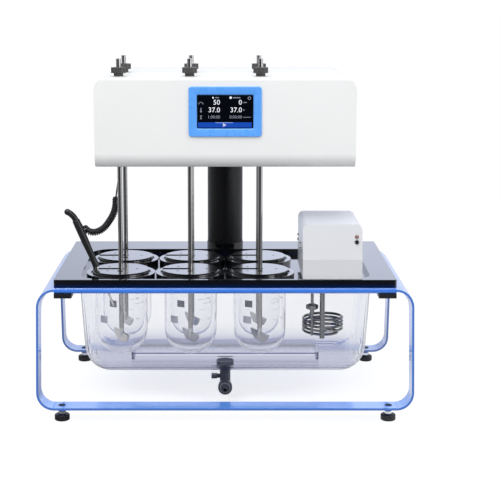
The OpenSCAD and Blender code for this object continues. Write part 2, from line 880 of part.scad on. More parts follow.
module head_cover() color([0.93, 0.93, 0.92]) {
    difference() {
        head_block(0);
        head_block(head_wall);
        translate([0, base_y, 0]) slab(base_w, base_d, 4, head_z - 1, head_z + head_wall + 1);
        for (i = [1:6]) {
            translate([place(i).x, place(i).y, head_top - head_wall - 1])
                cylinder(h = head_wall + 2, r = spindle_r + move_gap);
        }
        translate([0, 0, head_z + bezel_z])
            along_y(head_front - 1, head_front + head_wall + 1)
                rounded_rect(screen_w + 2 * seat_gap, screen_h + 2 * seat_gap, 2);
        translate([inlet_x, 0, inlet_z])
            along_y(head_front + head_d - head_wall - 1, head_front + head_d + 1)
                rounded_rect(inlet_w + 2 * seat_gap, inlet_h + 2 * seat_gap, inlet_r);
    }
}

module head_base() color([0.75, 0.76, 0.77]) {
    gland_r = 6;
    difference() {
        union() {
            translate([0, base_y, 0])
                slab(base_w - 2 * seat_gap, base_d - 2 * seat_gap, 4, head_z, head_z + head_wall);
            translate(gland_at) cylinder(h = gland_h + eps, r1 = gland_r - 2, r2 = gland_r);
        }
        for (i = [1:6]) {
            translate([place(i).x, place(i).y, head_z - 1])
                cylinder(h = head_wall + 2, r = spindle_r + move_gap);
        }
        translate([0, column_y, head_z - 1]) cylinder(h = head_wall + 2, r = column_d / 2 + seat_gap);
    }
}

module screen_bezel() color([0.3, 0.6, 0.97]) {
    translate([0, 0, head_z + bezel_z]) along_y(head_front - bezel_t, head_front) difference() {
        rounded_rect(bezel_w, bezel_h, bezel_r);
        rounded_rect(screen_w + 2 * seat_gap, screen_h + 2 * seat_gap, 2);
    }
}

module screen_display() color([0.02, 0.03, 0.06]) {
    screen_front = head_front - bezel_t + 0.8;
    translate([0, 0, head_z + bezel_z])
        along_y(screen_front, screen_front + screen_t) rounded_rect(screen_w, screen_h, 2);
}

module power_inlet() color([0.06, 0.06, 0.07]) {
    rear = head_front + head_d;
    rim = 3;
    rim_t = 2;
    socket = [28, 20];
    floor_t = 6;
    pin = [2, 17, 4];
    pin_pitch = 7;
    pin_step = 3;
    translate([inlet_x, 0, inlet_z]) {
        difference() {
            union() {
                along_y(rear - inlet_d, rear) rounded_rect(inlet_w, inlet_h, inlet_r);
                along_y(rear, rear + rim_t) rounded_rect(inlet_w + 2 * rim, inlet_h + 2 * rim, inlet_r + 1);
            }
            along_y(rear - inlet_d + floor_t, rear + rim_t + 1) rounded_rect(socket.x, socket.y, inlet_r);
        }
        for (k = [-1, 0, 1]) {
            translate([k * pin_pitch - pin.x / 2, rear - inlet_d + floor_t - 1, -pin_step * abs(k)]) cube(pin);
        }
    }
}

module column_outer() color([0.05, 0.05, 0.06]) {
    foot = deck_top + collar_h + move_gap;
    translate([0, column_y, foot])
        bored(column_d / 2, column_inner_d / 2 + run_gap, head_top - head_wall - foot);
}

module column_inner() color([0.65, 0.66, 0.68]) {
    translate([0, column_y, frame_top])
        bored(column_inner_d / 2, column_inner_d / 2 - column_inner_wall,
              head_top - column_inner_drop - frame_top);
}

// Heater and circulator

module heater_case() color([0.92, 0.92, 0.91]) {
    inner_w = heater_w - 2 * heater_wall;
    plinth_d = heater_d - 4 * plinth_inset;
    plinth_y = case_front + heater_d / 2 + plinth_inset;
    difference() {
        union() {
            translate([heater_x, 0, 0]) intersection() {
                translate([0, 0, deck_top + seat_gap])
                    along_y(case_front, case_rear) round_top(heater_w, heater_h - seat_gap, heater_r);
                along_x(-heater_w, heater_w) case_side(0);
            }
            translate([heater_x, plinth_y, 0])
                slab(heater_w - 2 * plinth_inset, plinth_d, 6, floor_z, deck_top + seat_gap + eps);
        }
        translate([heater_x, 0, 0]) intersection() {
            translate([0, 0, floor_z + heater_wall])
                along_y(case_front, case_rear)
                    round_top(inner_w, heater_top - floor_z - 2 * heater_wall, heater_r - heater_wall);
            along_x(-heater_w, heater_w) case_side(heater_wall);
            union() {
                translate([0, 0, deck_top + seat_gap + heater_wall])
                    along_y(case_front, case_rear) translate([-heater_w, 0]) square([2 * heater_w, heater_h]);
                translate([0, plinth_y, 0])
                    slab(heater_w - 2 * plinth_inset - 2 * heater_wall, plinth_d - 2 * heater_wall, 4,
                         floor_z + heater_wall, heater_top);
            }
        }
        translate([pump_at.x, pump_at.y, floor_z - 1]) cylinder(h = heater_wall + 2, r = rotor_r + move_gap);
    }
}

// Side outline of the case: upright below the crease, leaning back above it
module case_side(wall) {
    polygon([
        [case_front + wall, floor_z - 1], [case_rear - wall, floor_z - 1],
        [case_rear - wall, heater_top + 1], [case_front + wall + lean_run, heater_top + 1],
        [case_front + wall + lean_run, heater_top], [case_front + wall, crease_z]
    ]);
}

module heater_panel() color([0.9, 0.9, 0.89]) {
    z0 = deck_top + seat_gap;
    difference() {
        translate([heater_x, 0, 0]) intersection() {
            translate([0, 0, z0])
                along_y(panel_front - 1, case_front + lean_run + 1)
                    round_top(heater_w, heater_h - seat_gap, heater_r);
            along_x(-heater_w, heater_w)
                polygon([
                    [panel_front, z0], [case_front, z0], [case_front, crease_z],
                    [case_front + lean_run, heater_top], [panel_front + lean_run, heater_top],
                    [panel_front, crease_z]
                ]);
        }
        for (k = [0, 1]) {
            panel_pin(k, -1, panel_t + 1, (k == 0 ? lamp_d / 2 : button_d / 2) + move_gap);
        }
    }
}

// Cylinder square to the leaning panel; 0 is the lamp's place and 1 the button's
module panel_pin(k, from, to, r) {
    z = lamp_at.y - k * button_pitch;
    y = panel_front + (z - crease_z) * tan(panel_lean);
    translate([lamp_at.x, y, z])
        rotate([-90 - panel_lean, 0, 0])
            translate([0, 0, from]) cylinder(h = to - from, r = r);
}

module indicator_lamp() color([0.85, 0.25, 0.2]) {
    panel_pin(0, -button_proud / 2, panel_t * cos(panel_lean), lamp_d / 2);
}

module heater_button() color([0.1, 0.1, 0.1]) {
    panel_pin(1, -button_proud, panel_t * cos(panel_lean) - move_gap - 1.5, button_d / 2);
}

// The coil's tube: a leg down, the turns, drawn inwards at both ends, and a leg up
coil_start = 150;
coil_drawn = 0.6;
coil_inner_r = coil_r - 14;
coil_height = coil_turns * coil_pitch;
function coil_radius(u) = coil_r - (coil_r - coil_inner_r)
    * (1 + cos(180 * min(1, u / coil_drawn, (coil_turns - u) / coil_drawn))) / 2;
function coil_point(u) = [
    coil_at.x + coil_radius(u) * cos(coil_start + 360 * u),
    coil_at.y + coil_radius(u) * sin(coil_start + 360 * u),
    coil_foot + coil_height - coil_pitch * u
];
coil_rings = 24;
coil_steps = floor(coil_turns * coil_rings);
coil_turn_points = [for (k = [0:coil_steps]) coil_point(coil_turns * k / coil_steps)];
coil_in = let (t = coil_turn_points[1] - coil_turn_points[0]) unit([t.x, t.y, 0]);
coil_out = let (t = coil_turn_points[coil_steps] - coil_turn_points[coil_steps - 1]) unit([t.x, t.y, 0]);
up = [0, 0, 1];
coil_path = concat(
    [
        let (p = coil_turn_points[0] - coil_bend_r * coil_in) [p.x, p.y, floor_z],
        for (a = [0:22.5:67.5])
            coil_turn_points[0] - coil_bend_r * cos(a) * coil_in + coil_bend_r * (1 - sin(a)) * up
    ],
    coil_turn_points,
    [
        for (a = [22.5:22.5:90])
            coil_turn_points[coil_steps] + coil_bend_r * sin(a) * coil_out + coil_bend_r * (1 - cos(a)) * up,
        let (p = coil_turn_points[coil_steps] + coil_bend_r * coil_out) [p.x, p.y, floor_z]
    ]
);

module heater_coil() color([0.72, 0.72, 0.7]) swept_tube(coil_path, coil_tube_d / 2, 8, [1, 0, 0]);

module pump_tube() color([0.72, 0.72, 0.7]) {
    foot = floor_z - pump_tube_l;
    hole_r = 2.1;
    hole_z = 14;
    translate([pump_at.x, pump_at.y, foot]) difference() {
        bored(pump_tube_d / 2, pump_tube_d / 2 - pump_tube_wall, pump_tube_l);
        for (a = [0, 90]) {
            rotate(a) translate([-pump_tube_d, 0, hole_z]) rotate([0, 90, 0])
                cylinder(h = 2 * pump_tube_d, r = hole_r);
        }
    }
}

module pump_motor() color([0.2, 0.2, 0.22]) {
    translate([pump_at.x, pump_at.y, floor_z + heater_wall]) difference() {
        cylinder(h = pump_motor_h, r = pump_motor_d / 2);
        translate([0, 0, -1]) cylinder(h = pump_motor_h / 2 + 1, r = rotor_r + run_gap);
    }
}

module pump_rotor() color([0.7, 0.7, 0.72]) {
    foot = floor_z - pump_tube_l + 2;
    top = floor_z + heater_wall + pump_motor_h / 2 - move_gap;
    vane_r = pump_tube_d / 2 - pump_tube_wall - 2 * move_gap;
    vane_t = 1;
    vane_h = 8;
    translate([pump_at.x, pump_at.y, foot]) {
        cylinder(h = top - foot, r = rotor_r);
        for (a = [0:60:120]) {
            rotate(a) translate([-vane_r, -vane_t / 2, 0]) cube([2 * vane_r, vane_t, vane_h]);
        }
    }
}

module heater_sensor() color([0.72, 0.72, 0.7]) {
    rod_l = pump_tube_l - 6;
    fitting_z = floor_z - sensor_fitting_drop;
    hex_rise = 11;
    hex_h = 9;
    sleeve_wall = 1.5;
    translate([sensor_at.x, sensor_at.y, 0]) {
        translate([0, 0, floor_z - rod_l]) cylinder(h = rod_l, r = sensor_d / 2);
        translate([0, 0, fitting_z]) cylinder(h = sensor_fitting_h, r = sensor_d / 2 + sleeve_wall);
        translate([0, 0, fitting_z + hex_rise])
            cylinder(h = hex_h, r = sensor_fitting_d / 2, $fn = 6);
    }
}

// Drain valve

module valve_body() color([0.08, 0.08, 0.09]) {
    nut_y = outlet_y - outlet_nut_l;
    neck_l = 5.6;
    neck_wall = 3.5;
    stem_wall = 3;
    spigot_wall = 1.5;
    overlap = 3;
    difference() {
        union() {
            translate([0, drain_y, valve_top]) {
                cylinder(h = drain_flange_t, r = drain_flange_d / 2);
                cylinder(h = drain_flange_t + bath_wall + drain_flange_t, r = stem_d / 2);
            }
            translate([0, drain_y, valve_top - valve_h]) cylinder(h = valve_h + eps, r = valve_d / 2);
            translate([0, outlet_y + overlap, outlet_z]) rotate([90, 0, 0])
                cylinder(h = outlet_nut_l + overlap, r = outlet_nut_d / 2);
            translate([0, nut_y + eps, outlet_z]) rotate([90, 0, 0])
                cylinder(h = neck_l, r = spigot_d / 2 + neck_wall);
            translate([0, nut_y, outlet_z]) rotate([90, 0, 0]) cylinder(h = spigot_l, r = spigot_d / 2);
        }
        translate([0, drain_y, outlet_z]) cylinder(h = 200, r = stem_d / 2 - stem_wall);
        translate([0, drain_y, outlet_z]) rotate([90, 0, 0]) cylinder(h = 200, r = spigot_d / 2 - spigot_wall);
        translate([-valve_d / 2 - 1, drain_y, lever_z]) rotate([0, 90, 0])
            cylinder(h = lever_hub + 1 + move_gap, r = lever_pivot_r + run_gap);
    }
}

module valve_nut() color([0.08, 0.08, 0.09]) {
    translate([0, drain_y, bath_z + bath_wall + 2 * seat_gap])
        bored(drain_flange_d / 2, stem_d / 2 + seat_gap, drain_flange_t);
}

// Grip with its pivot pin, which turns on the valve's left side
module valve_lever() color([0.12, 0.12, 0.13]) {
    lever_room = 2;
    hub_x = -valve_d / 2 - move_gap;
    grip_x = -max(valve_d, outlet_nut_d) / 2 - lever_room - lever_t;
    translate([0, drain_y, lever_z]) {
        translate([grip_x, 0, 0]) rotate([0, 90, 0])
            cylinder(h = -grip_x - valve_d / 2 + lever_hub, r = lever_pivot_r);
        translate([grip_x, 0, 0]) rotate([0, 90, 0])
            cylinder(h = hub_x - grip_x, r = lever_h / 2);
        translate([grip_x, 0, 0]) rotate([90, 0, 90]) linear_extrude(lever_t)
            capsule([-lever_l / 2 + lever_h / 2, 0], [lever_l / 2 - lever_h / 2, 0], lever_h / 2);
    }
}

// Temperature probe and its curly cord

module probe_handle() color([0.1, 0.1, 0.11]) {
    r = probe_d / 2;
    waist = probe_waist_d / 2;
    flare = 7.5;
    elbow_turn = 42;
    overlap = 1;
    tip_l = 8;
    tip_r = probe_elbow_d / 2 + 0.4;
    tip_edge = 2.5;
    difference() {
        union() {
            translate(probe_foot) rotate([0, -probe_lean, 0]) {
                rotate_extrude() polygon([
                    [0, 0], [flare, 0], [flare - 0.4, 4], [waist, 18], [waist, 26],
                    [r, 58], [r, probe_l - 14], [r - 0.4, probe_l], [0, probe_l]
                ]);
                translate([-probe_elbow_r, 0, probe_l - overlap]) {
                    rotate([90, 0, 0])
                        rotate_extrude(angle = elbow_turn)
                            translate([probe_elbow_r, 0]) circle(probe_elbow_d / 2);
                    rotate([0, -elbow_turn, 0]) translate([probe_elbow_r, 0, -overlap]) {
                        cylinder(h = tip_l, r = tip_r);
                        translate([0, 0, tip_l]) cylinder(h = tip_edge, r1 = tip_r, r2 = tip_r - tip_edge);
                    }
                }
            }
            rod(relief_from, cord_start, relief_r, relief_r - 2.9);
        }
        translate(probe_foot) rotate([0, -probe_lean, 0])
            translate([0, 0, -1]) cylinder(h = 21, r = probe_stem_d / 2 + seat_gap / 2);
    }
}

module probe_stem() color([0.75, 0.75, 0.74]) {
    inserted = 19.5;
    rod(probe_foot - probe_stem_l * probe_dir, probe_foot + inserted * probe_dir,
        probe_stem_d / 2, probe_stem_d / 2);
}

// Hand-chosen route of the cord between the handle and the gland under the head
cord_way = [
    [-284.5, -106, 367], [-277.5, -105, 362], [-268, -104, 360.5], [-257.5, -102, 363.5],
    [-247, -100, 370.5], [-238.5, -97, 381.5], [-231, -94, 393.5], [-226.5, -91, 405.5],
    [-224.5, -88, 417.5], [-224.5, -85, 429]
];
cord_end = gland_at - [0, 0, seat_gap];
cord_knots = concat(
    [cord_start - relief_dir * 6, cord_start + relief_dir * seat_gap, cord_start + relief_dir * wire_d],
    cord_way,
    [
        [gland_at.x - 5.5, gland_at.y - 4, 453], [gland_at.x, gland_at.y, gland_at.z - wire_d],
        cord_end, gland_at + [0, 0, 6]
    ]
);
function spline(a, b, c, d, t) = 0.5 * (2 * b + (c - a) * t + (2 * a - 5 * b + 4 * c - d) * t * t
    + (3 * b - a - 3 * c + d) * t * t * t);
cord_fine = [
    for (k = [1:len(cord_knots) - 3], j = [0:11])
        spline(cord_knots[k - 1], cord_knots[k], cord_knots[k + 1], cord_knots[k + 2], j / 12),
    cord_end
];
cord_run = [
    for (i = 0, s = 0; i < len(cord_fine);
         i = i + 1, s = i < len(cord_fine) ? s + norm(cord_fine[i] - cord_fine[i - 1]) : s) s
];
cord_l = cord_run[len(cord_run) - 1];
function cord_axis(s) = [
    for (k = [0:2]) lookup(s, [for (i = [0:len(cord_fine) - 1]) [cord_run[i], cord_fine[i][k]]])
];
curl_from = 6;
curl_to = cord_l - 63;
curl_rings = 8;
curl_steps = curls * curl_rings;
curl_r = (curl_d - wire_d) / 2;
axis_runs = concat(
    [0, wire_d],
    [for (k = [0:curl_steps]) curl_from + (curl_to - curl_from) * k / curl_steps],
    [for (k = [1:8]) curl_to + (cord_l - wire_d - curl_to) * k / 8],
    [cord_l]
);
axis_points = [for (s = axis_runs) cord_axis(s)];
axis_normals = frames(axis_points, [0, 1, 0]);
function curl_swell(k) = k <= 0 || k >= curl_steps ? 0
    : min(1, k / curl_rings, (curl_steps - k) / curl_rings);
cord_path = [
    for (i = [0:len(axis_points) - 1])
        let (k = i - 2, t = tangent(axis_points, i), n = axis_normals[i], a = 360 * k / curl_rings,
             r = curl_r * curl_swell(k))
        axis_points[i] + r * (cos(a) * n + sin(a) * cross(t, n))
];
cord_path_run = [
    for (i = 0, s = 0; i < len(cord_path);
         i = i + 1, s = i < len(cord_path) ? s + norm(cord_path[i] - cord_path[i - 1]) : s) s
];
cord_path_l = cord_path_run[len(cord_path) - 1];
cord_gap = min([
    for (i = [0:len(cord_path) - 2], j = [i + 1:min(i + 14, len(cord_path) - 1)])
        if (cord_path_run[j] - cord_path_run[i] > 3 * wire_d) norm(cord_path[i] - cord_path[j])
]) - wire_d;
echo(cord_least_gap = cord_gap, cord_axis_length = cord_l, cord_length = cord_path_l);

module probe_cord() color([0.08, 0.08, 0.09]) swept_tube(cord_path, wire_d / 2, 6, [0, 1, 0]);

// One line for each node

frame();
deck();
deck_clamps();
bath();
vessels();
vessel_rings();
column_inner();
heater_case();
heater_panel();
heater_coil();
heater_sensor();
pump_tube();
pump_motor();
pump_rotor();
indicator_lamp();
heater_button();
valve_body();
valve_nut();
valve_lever();
head_cover();
head_base();
screen_bezel();
screen_display();
drive_motor();
motor_pulley();
drive_belt();
spindle_bearings();
column_outer();
power_inlet();
probe_handle();
probe_stem();
probe_cord();
for (i = [1:4]) {
    foot(i);
}
for (i = [1:6]) {
    spindle(i);
    knob(i);
    shaft(i);
    lid(i);
}
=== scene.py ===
"""Looks of the dissolution tester: camera, materials, curly cord, screen, prints, finer pieces and studio."""

import json
import math

import bmesh
import bpy
from mathutils import Matrix, Vector


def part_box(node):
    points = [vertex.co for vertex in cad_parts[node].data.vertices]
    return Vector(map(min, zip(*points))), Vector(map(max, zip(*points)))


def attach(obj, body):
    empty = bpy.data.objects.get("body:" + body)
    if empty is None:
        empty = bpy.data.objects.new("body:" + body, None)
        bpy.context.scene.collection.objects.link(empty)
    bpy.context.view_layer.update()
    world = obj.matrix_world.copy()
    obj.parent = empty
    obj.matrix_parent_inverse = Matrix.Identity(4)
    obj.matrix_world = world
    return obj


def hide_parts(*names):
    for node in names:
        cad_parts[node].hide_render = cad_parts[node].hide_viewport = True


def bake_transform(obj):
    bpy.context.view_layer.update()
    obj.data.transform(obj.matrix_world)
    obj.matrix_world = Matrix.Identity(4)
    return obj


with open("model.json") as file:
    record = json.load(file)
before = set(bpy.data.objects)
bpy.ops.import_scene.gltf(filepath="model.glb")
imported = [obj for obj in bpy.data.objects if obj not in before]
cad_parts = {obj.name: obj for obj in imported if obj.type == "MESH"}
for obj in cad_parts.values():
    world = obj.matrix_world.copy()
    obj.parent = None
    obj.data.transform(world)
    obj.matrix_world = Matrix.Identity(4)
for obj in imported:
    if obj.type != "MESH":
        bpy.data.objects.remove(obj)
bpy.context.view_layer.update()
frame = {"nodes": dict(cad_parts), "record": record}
nodes = frame["nodes"]
MM = 0.001

# Camera: nearly level, well in front of the bench
camera_data = bpy.data.cameras.new("camera")
camera_data.sensor_width = 36
camera_data.lens = 96.11
camera_data.shift_x = 0.05
camera_data.shift_y = -0.10
camera = bpy.data.objects.new("camera", camera_data)
camera.location = (-0.0003, -2.7967, 0.8460)
camera.rotation_euler = (math.radians(90 - 8.836), 0, 0)
bpy.context.scene.collection.objects.link(camera)
bpy.context.scene.camera = camera


# Mesh helpers


def mesh_object(name, verts, faces, smooth=False):
    mesh = bpy.data.meshes.new(name)
    mesh.from_pydata([tuple(v) for v in verts], [], faces)
    mesh.validate()
    mesh.update()
    for polygon in mesh.polygons:
        polygon.use_smooth = smooth
    obj = bpy.data.objects.new(name, mesh)
    bpy.context.scene.collection.objects.link(obj)
    return obj


def join(name, objects):
    """One object of several, with their modifiers and places applied."""
    graph = bpy.context.evaluated_depsgraph_get()
    joined = bmesh.new()
    for o in objects:
        part = bpy.data.meshes.new_from_object(o.evaluated_get(graph))
        part.transform(o.matrix_world)
        joined.from_mesh(part)
        bpy.data.meshes.remove(part)
    mesh = bpy.data.meshes.new(name)
    joined.to_mesh(mesh)
    joined.free()
    for o in objects:
        bpy.data.objects.remove(o)
    obj = bpy.data.objects.new(name, mesh)
    bpy.context.scene.collection.objects.link(obj)
    return obj


def outward(obj):
    """Turn all faces of a closed mesh outwards."""
    mesh = bmesh.new()
    mesh.from_mesh(obj.data)
    bmesh.ops.recalc_face_normals(mesh, faces=mesh.faces)
    mesh.to_mesh(obj.data)
    mesh.free()
    return obj


def dress(obj, material, body, smooth_angle=None):
    obj.data.materials.clear()
    obj.data.materials.append(material)
    if smooth_angle is not None:
        for polygon in obj.data.polygons:
            polygon.use_smooth = True
        obj.data.set_sharp_from_angle(angle=math.radians(smooth_angle))
    if body is not None:
        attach(obj, body)


def tube(path, radius, sides, name):
    """Round tube along a list of points, with flat ends."""
    normal = Vector((0, 1, 0))
    verts, faces = [], []
    for i, p in enumerate(path):
        t = (path[min(i + 1, len(path) - 1)] - path[max(i - 1, 0)]).normalized()
        normal = (normal - normal.dot(t) * t).normalized()
        other = t.cross(normal)
        for k in range(sides):
            a = 2 * math.pi * k / sides
            verts.append(p + radius * (math.cos(a) * normal + math.sin(a) * other))
    for i in range(len(path) - 1):
        for k in range(sides):
            a, b = i * sides + k, i * sides + (k + 1) % sides
            faces.append((a, b, b + sides, a + sides))
    faces.append(tuple(range(sides))[::-1])
    faces.append(tuple(range((len(path) - 1) * sides, len(path) * sides)))
    return mesh_object(name, verts, faces, smooth=True)


def turned(profile, sides, name):
    """Solid of revolution about Z of (radius, height) points that start and end on the axis."""
    verts, faces = [], []
    rings = []
    for r, z in profile:
        if r < 1e-9:
            rings.append([len(verts)])
            verts.append(Vector((0, 0, z)))
        else:
            rings.append(list(range(len(verts), len(verts) + sides)))
            verts += [
                Vector((r * math.cos(2 * math.pi * k / sides), r * math.sin(2 * math.pi * k / sides), z))
                for k in range(sides)
            ]
    for low, high in zip(rings, rings[1:]):
        for k in range(sides):
            j = (k + 1) % sides
            if len(low) == 1:
                faces.append((low[0], high[j], high[k]))
            elif len(high) == 1:
                faces.append((low[k], low[j], high[0]))
            else:
                faces.append((low[k], low[j], high[j], high[k]))
    return mesh_object(name, verts, faces)


# Material helpers


def shader(name):
    material = bpy.data.materials.new(name)
    material.use_nodes = True
    tree = material.node_tree
    tree.nodes.clear()
    output = tree.nodes.new("ShaderNodeOutputMaterial")
    principled = tree.nodes.new("ShaderNodeBsdfPrincipled")
    tree.links.new(principled.outputs["BSDF"], output.inputs["Surface"])
    return material, tree, principled


def coordinates(tree, stretch=(1, 1, 1)):
    place = tree.nodes.new("ShaderNodeTexCoord")
    mapping = tree.nodes.new("ShaderNodeMapping")
    mapping.inputs["Scale"].default_value = stretch
    tree.links.new(place.outputs["Object"], mapping.inputs["Vector"])
    return mapping.outputs["Vector"]


def place_parts(tree):
    """X, Y and Z in the object's own coordinates."""
    parts = tree.nodes.new("ShaderNodeSeparateXYZ")
    tree.links.new(tree.nodes.new("ShaderNodeTexCoord").outputs["Object"], parts.inputs["Vector"])
    return parts.outputs


def facing_parts(tree):
    """X, Y and Z of the surface's direction."""
    parts = tree.nodes.new("ShaderNodeSeparateXYZ")
    tree.links.new(tree.nodes.new("ShaderNodeNewGeometry").outputs["True Normal"], parts.inputs["Vector"])
    return parts.outputs


def noise(tree, vector, scale, detail=3.0):
    node = tree.nodes.new("ShaderNodeTexNoise")
    node.inputs["Scale"].default_value = scale
    node.inputs["Detail"].default_value = detail
    tree.links.new(vector, node.inputs["Vector"])
    return node.outputs["Fac"]


def spread(tree, value, low, high):
    node = tree.nodes.new("ShaderNodeMapRange")
    node.inputs["From Min"].default_value = 0.3
    node.inputs["From Max"].default_value = 0.7
    node.inputs["To Min"].default_value = low
    node.inputs["To Max"].default_value = high
    tree.links.new(value, node.inputs["Value"])
    return node.outputs["Result"]


def link_math(tree, operation, first, second=None, clamp=False):
    node = tree.nodes.new("ShaderNodeMath")
    node.operation = operation
    node.use_clamp = clamp
    for socket, value in zip(node.inputs, (first, second)):
        if isinstance(value, (int, float)):
            socket.default_value = value
        elif value is not None:
            tree.links.new(value, socket)
    return node.outputs["Value"]


def two_tone(tree, value, low, high):
    ramp = tree.nodes.new("ShaderNodeValToRGB")
    ramp.color_ramp.elements[0].position = 0.35
    ramp.color_ramp.elements[1].position = 0.65
    ramp.color_ramp.elements[0].color = (*low, 1)
    ramp.color_ramp.elements[1].color = (*high, 1)
    tree.links.new(value, ramp.inputs["Fac"])
    return ramp.outputs["Color"]


def finish(name, colour, vary=0.04, rough=(0.3, 0.4), grain=700, depth=0.00004, edge=0.0005, metallic=0.0,
           coat=0.0, coat_rough=0.05, ior=1.5, stretch=(1, 1, 1), patch=9):
    """Painted, moulded or metal surface: uneven tone, uneven gloss, fine grain and softened edges."""
    material, tree, p = shader(name)
    vector = coordinates(tree, stretch)
    low = [c * (1 - vary) for c in colour]
    high = [min(1, c * (1 + vary)) for c in colour]
    tree.links.new(two_tone(tree, noise(tree, vector, patch), low, high), p.inputs["Base Color"])
    tree.links.new(spread(tree, noise(tree, vector, grain / 12), *rough), p.inputs["Roughness"])
    p.inputs["Metallic"].default_value = metallic
    p.inputs["IOR"].default_value = ior
    p.inputs["Coat Weight"].default_value = coat
    p.inputs["Coat Roughness"].default_value = coat_rough
    p.inputs["Coat IOR"].default_value = ior
    bump = tree.nodes.new("ShaderNodeBump")
    bump.inputs["Strength"].default_value = 0.4
    bump.inputs["Distance"].default_value = depth
    tree.links.new(noise(tree, vector, grain, 2.0), bump.inputs["Height"])
    if edge:
        bevel = tree.nodes.new("ShaderNodeBevel")
        bevel.samples = 4
        bevel.inputs["Radius"].default_value = edge
        tree.links.new(bevel.outputs["Normal"], bump.inputs["Normal"])
    tree.links.new(bump.outputs["Normal"], p.inputs["Normal"])
    return material


def clear(name, tint, ior, rough, shadow, absorb, density, foot=None):
    """See-through plastic or glass, tinted where it is thick; lamps shine through it as through thin walls.

    foot gives the heights, tints and haze of a lower part that is moulded thicker; the tints are painted
    shade.
    """
    material, tree, p = shader(name)
    p.inputs["Base Color"].default_value = (*tint, 1)
    if foot:
        ramp = tree.nodes.new("ShaderNodeValToRGB")
        elements = ramp.color_ramp.elements
        for height, colour, haze in foot:
            elements.new(height).color = (*colour, haze)
        elements.remove(elements[0])
        elements.remove(elements[-1])
        tree.links.new(place_parts(tree)["Z"], ramp.inputs["Fac"])
        tree.links.new(ramp.outputs["Color"], p.inputs["Base Color"])
    p.inputs["Transmission Weight"].default_value = 1
    p.inputs["IOR"].default_value = ior
    vector = coordinates(tree)
    gloss = spread(tree, noise(tree, vector, 30), *rough)
    if foot:
        gloss = link_math(tree, "ADD", gloss, ramp.outputs["Alpha"])
    tree.links.new(gloss, p.inputs["Roughness"])
    output = next(n for n in tree.nodes if n.type == "OUTPUT_MATERIAL")
    path = tree.nodes.new("ShaderNodeLightPath")
    through = tree.nodes.new("ShaderNodeBsdfTransparent")
    through.inputs["Color"].default_value = (*shadow, 1)
    mix = tree.nodes.new("ShaderNodeMixShader")
    tree.links.new(path.outputs["Is Shadow Ray"], mix.inputs["Fac"])
    tree.links.new(p.outputs["BSDF"], mix.inputs[1])
    tree.links.new(through.outputs["BSDF"], mix.inputs[2])
    tree.links.new(mix.outputs["Shader"], output.inputs["Surface"])
    depth = tree.nodes.new("ShaderNodeVolumeAbsorption")
    depth.inputs["Color"].default_value = (*absorb, 1)
    depth.inputs["Density"].default_value = density
    tree.links.new(depth.outputs["Volume"], output.inputs["Volume"])
    return material


def glow(name, colour, strength):
    material, tree, p = shader(name)
    p.inputs["Base Color"].default_value = (*[c * 0.2 for c in colour], 1)
    p.inputs["Roughness"].default_value = 0.3
    p.inputs["Emission Color"].default_value = (*colour, 1)
    p.inputs["Emission Strength"].default_value = strength
    return material


def principled_of(material):
    return next(n for n in material.node_tree.nodes if n.type == "BSDF_PRINCIPLED")


def overlay(material, factor, colour):
    """Lay a second colour over the first where factor is 1."""
    tree = material.node_tree
    p = principled_of(material)
    mix = tree.nodes.new("ShaderNodeMix")
    mix.data_type = "RGBA"
    tree.links.new(factor, mix.inputs["Factor"])
    tree.links.new(p.inputs["Base Color"].links[0].from_socket, mix.inputs["A"])
    mix.inputs["B"].default_value = (*colour, 1)
    tree.links.new(mix.outputs["Result"], p.inputs["Base Color"])


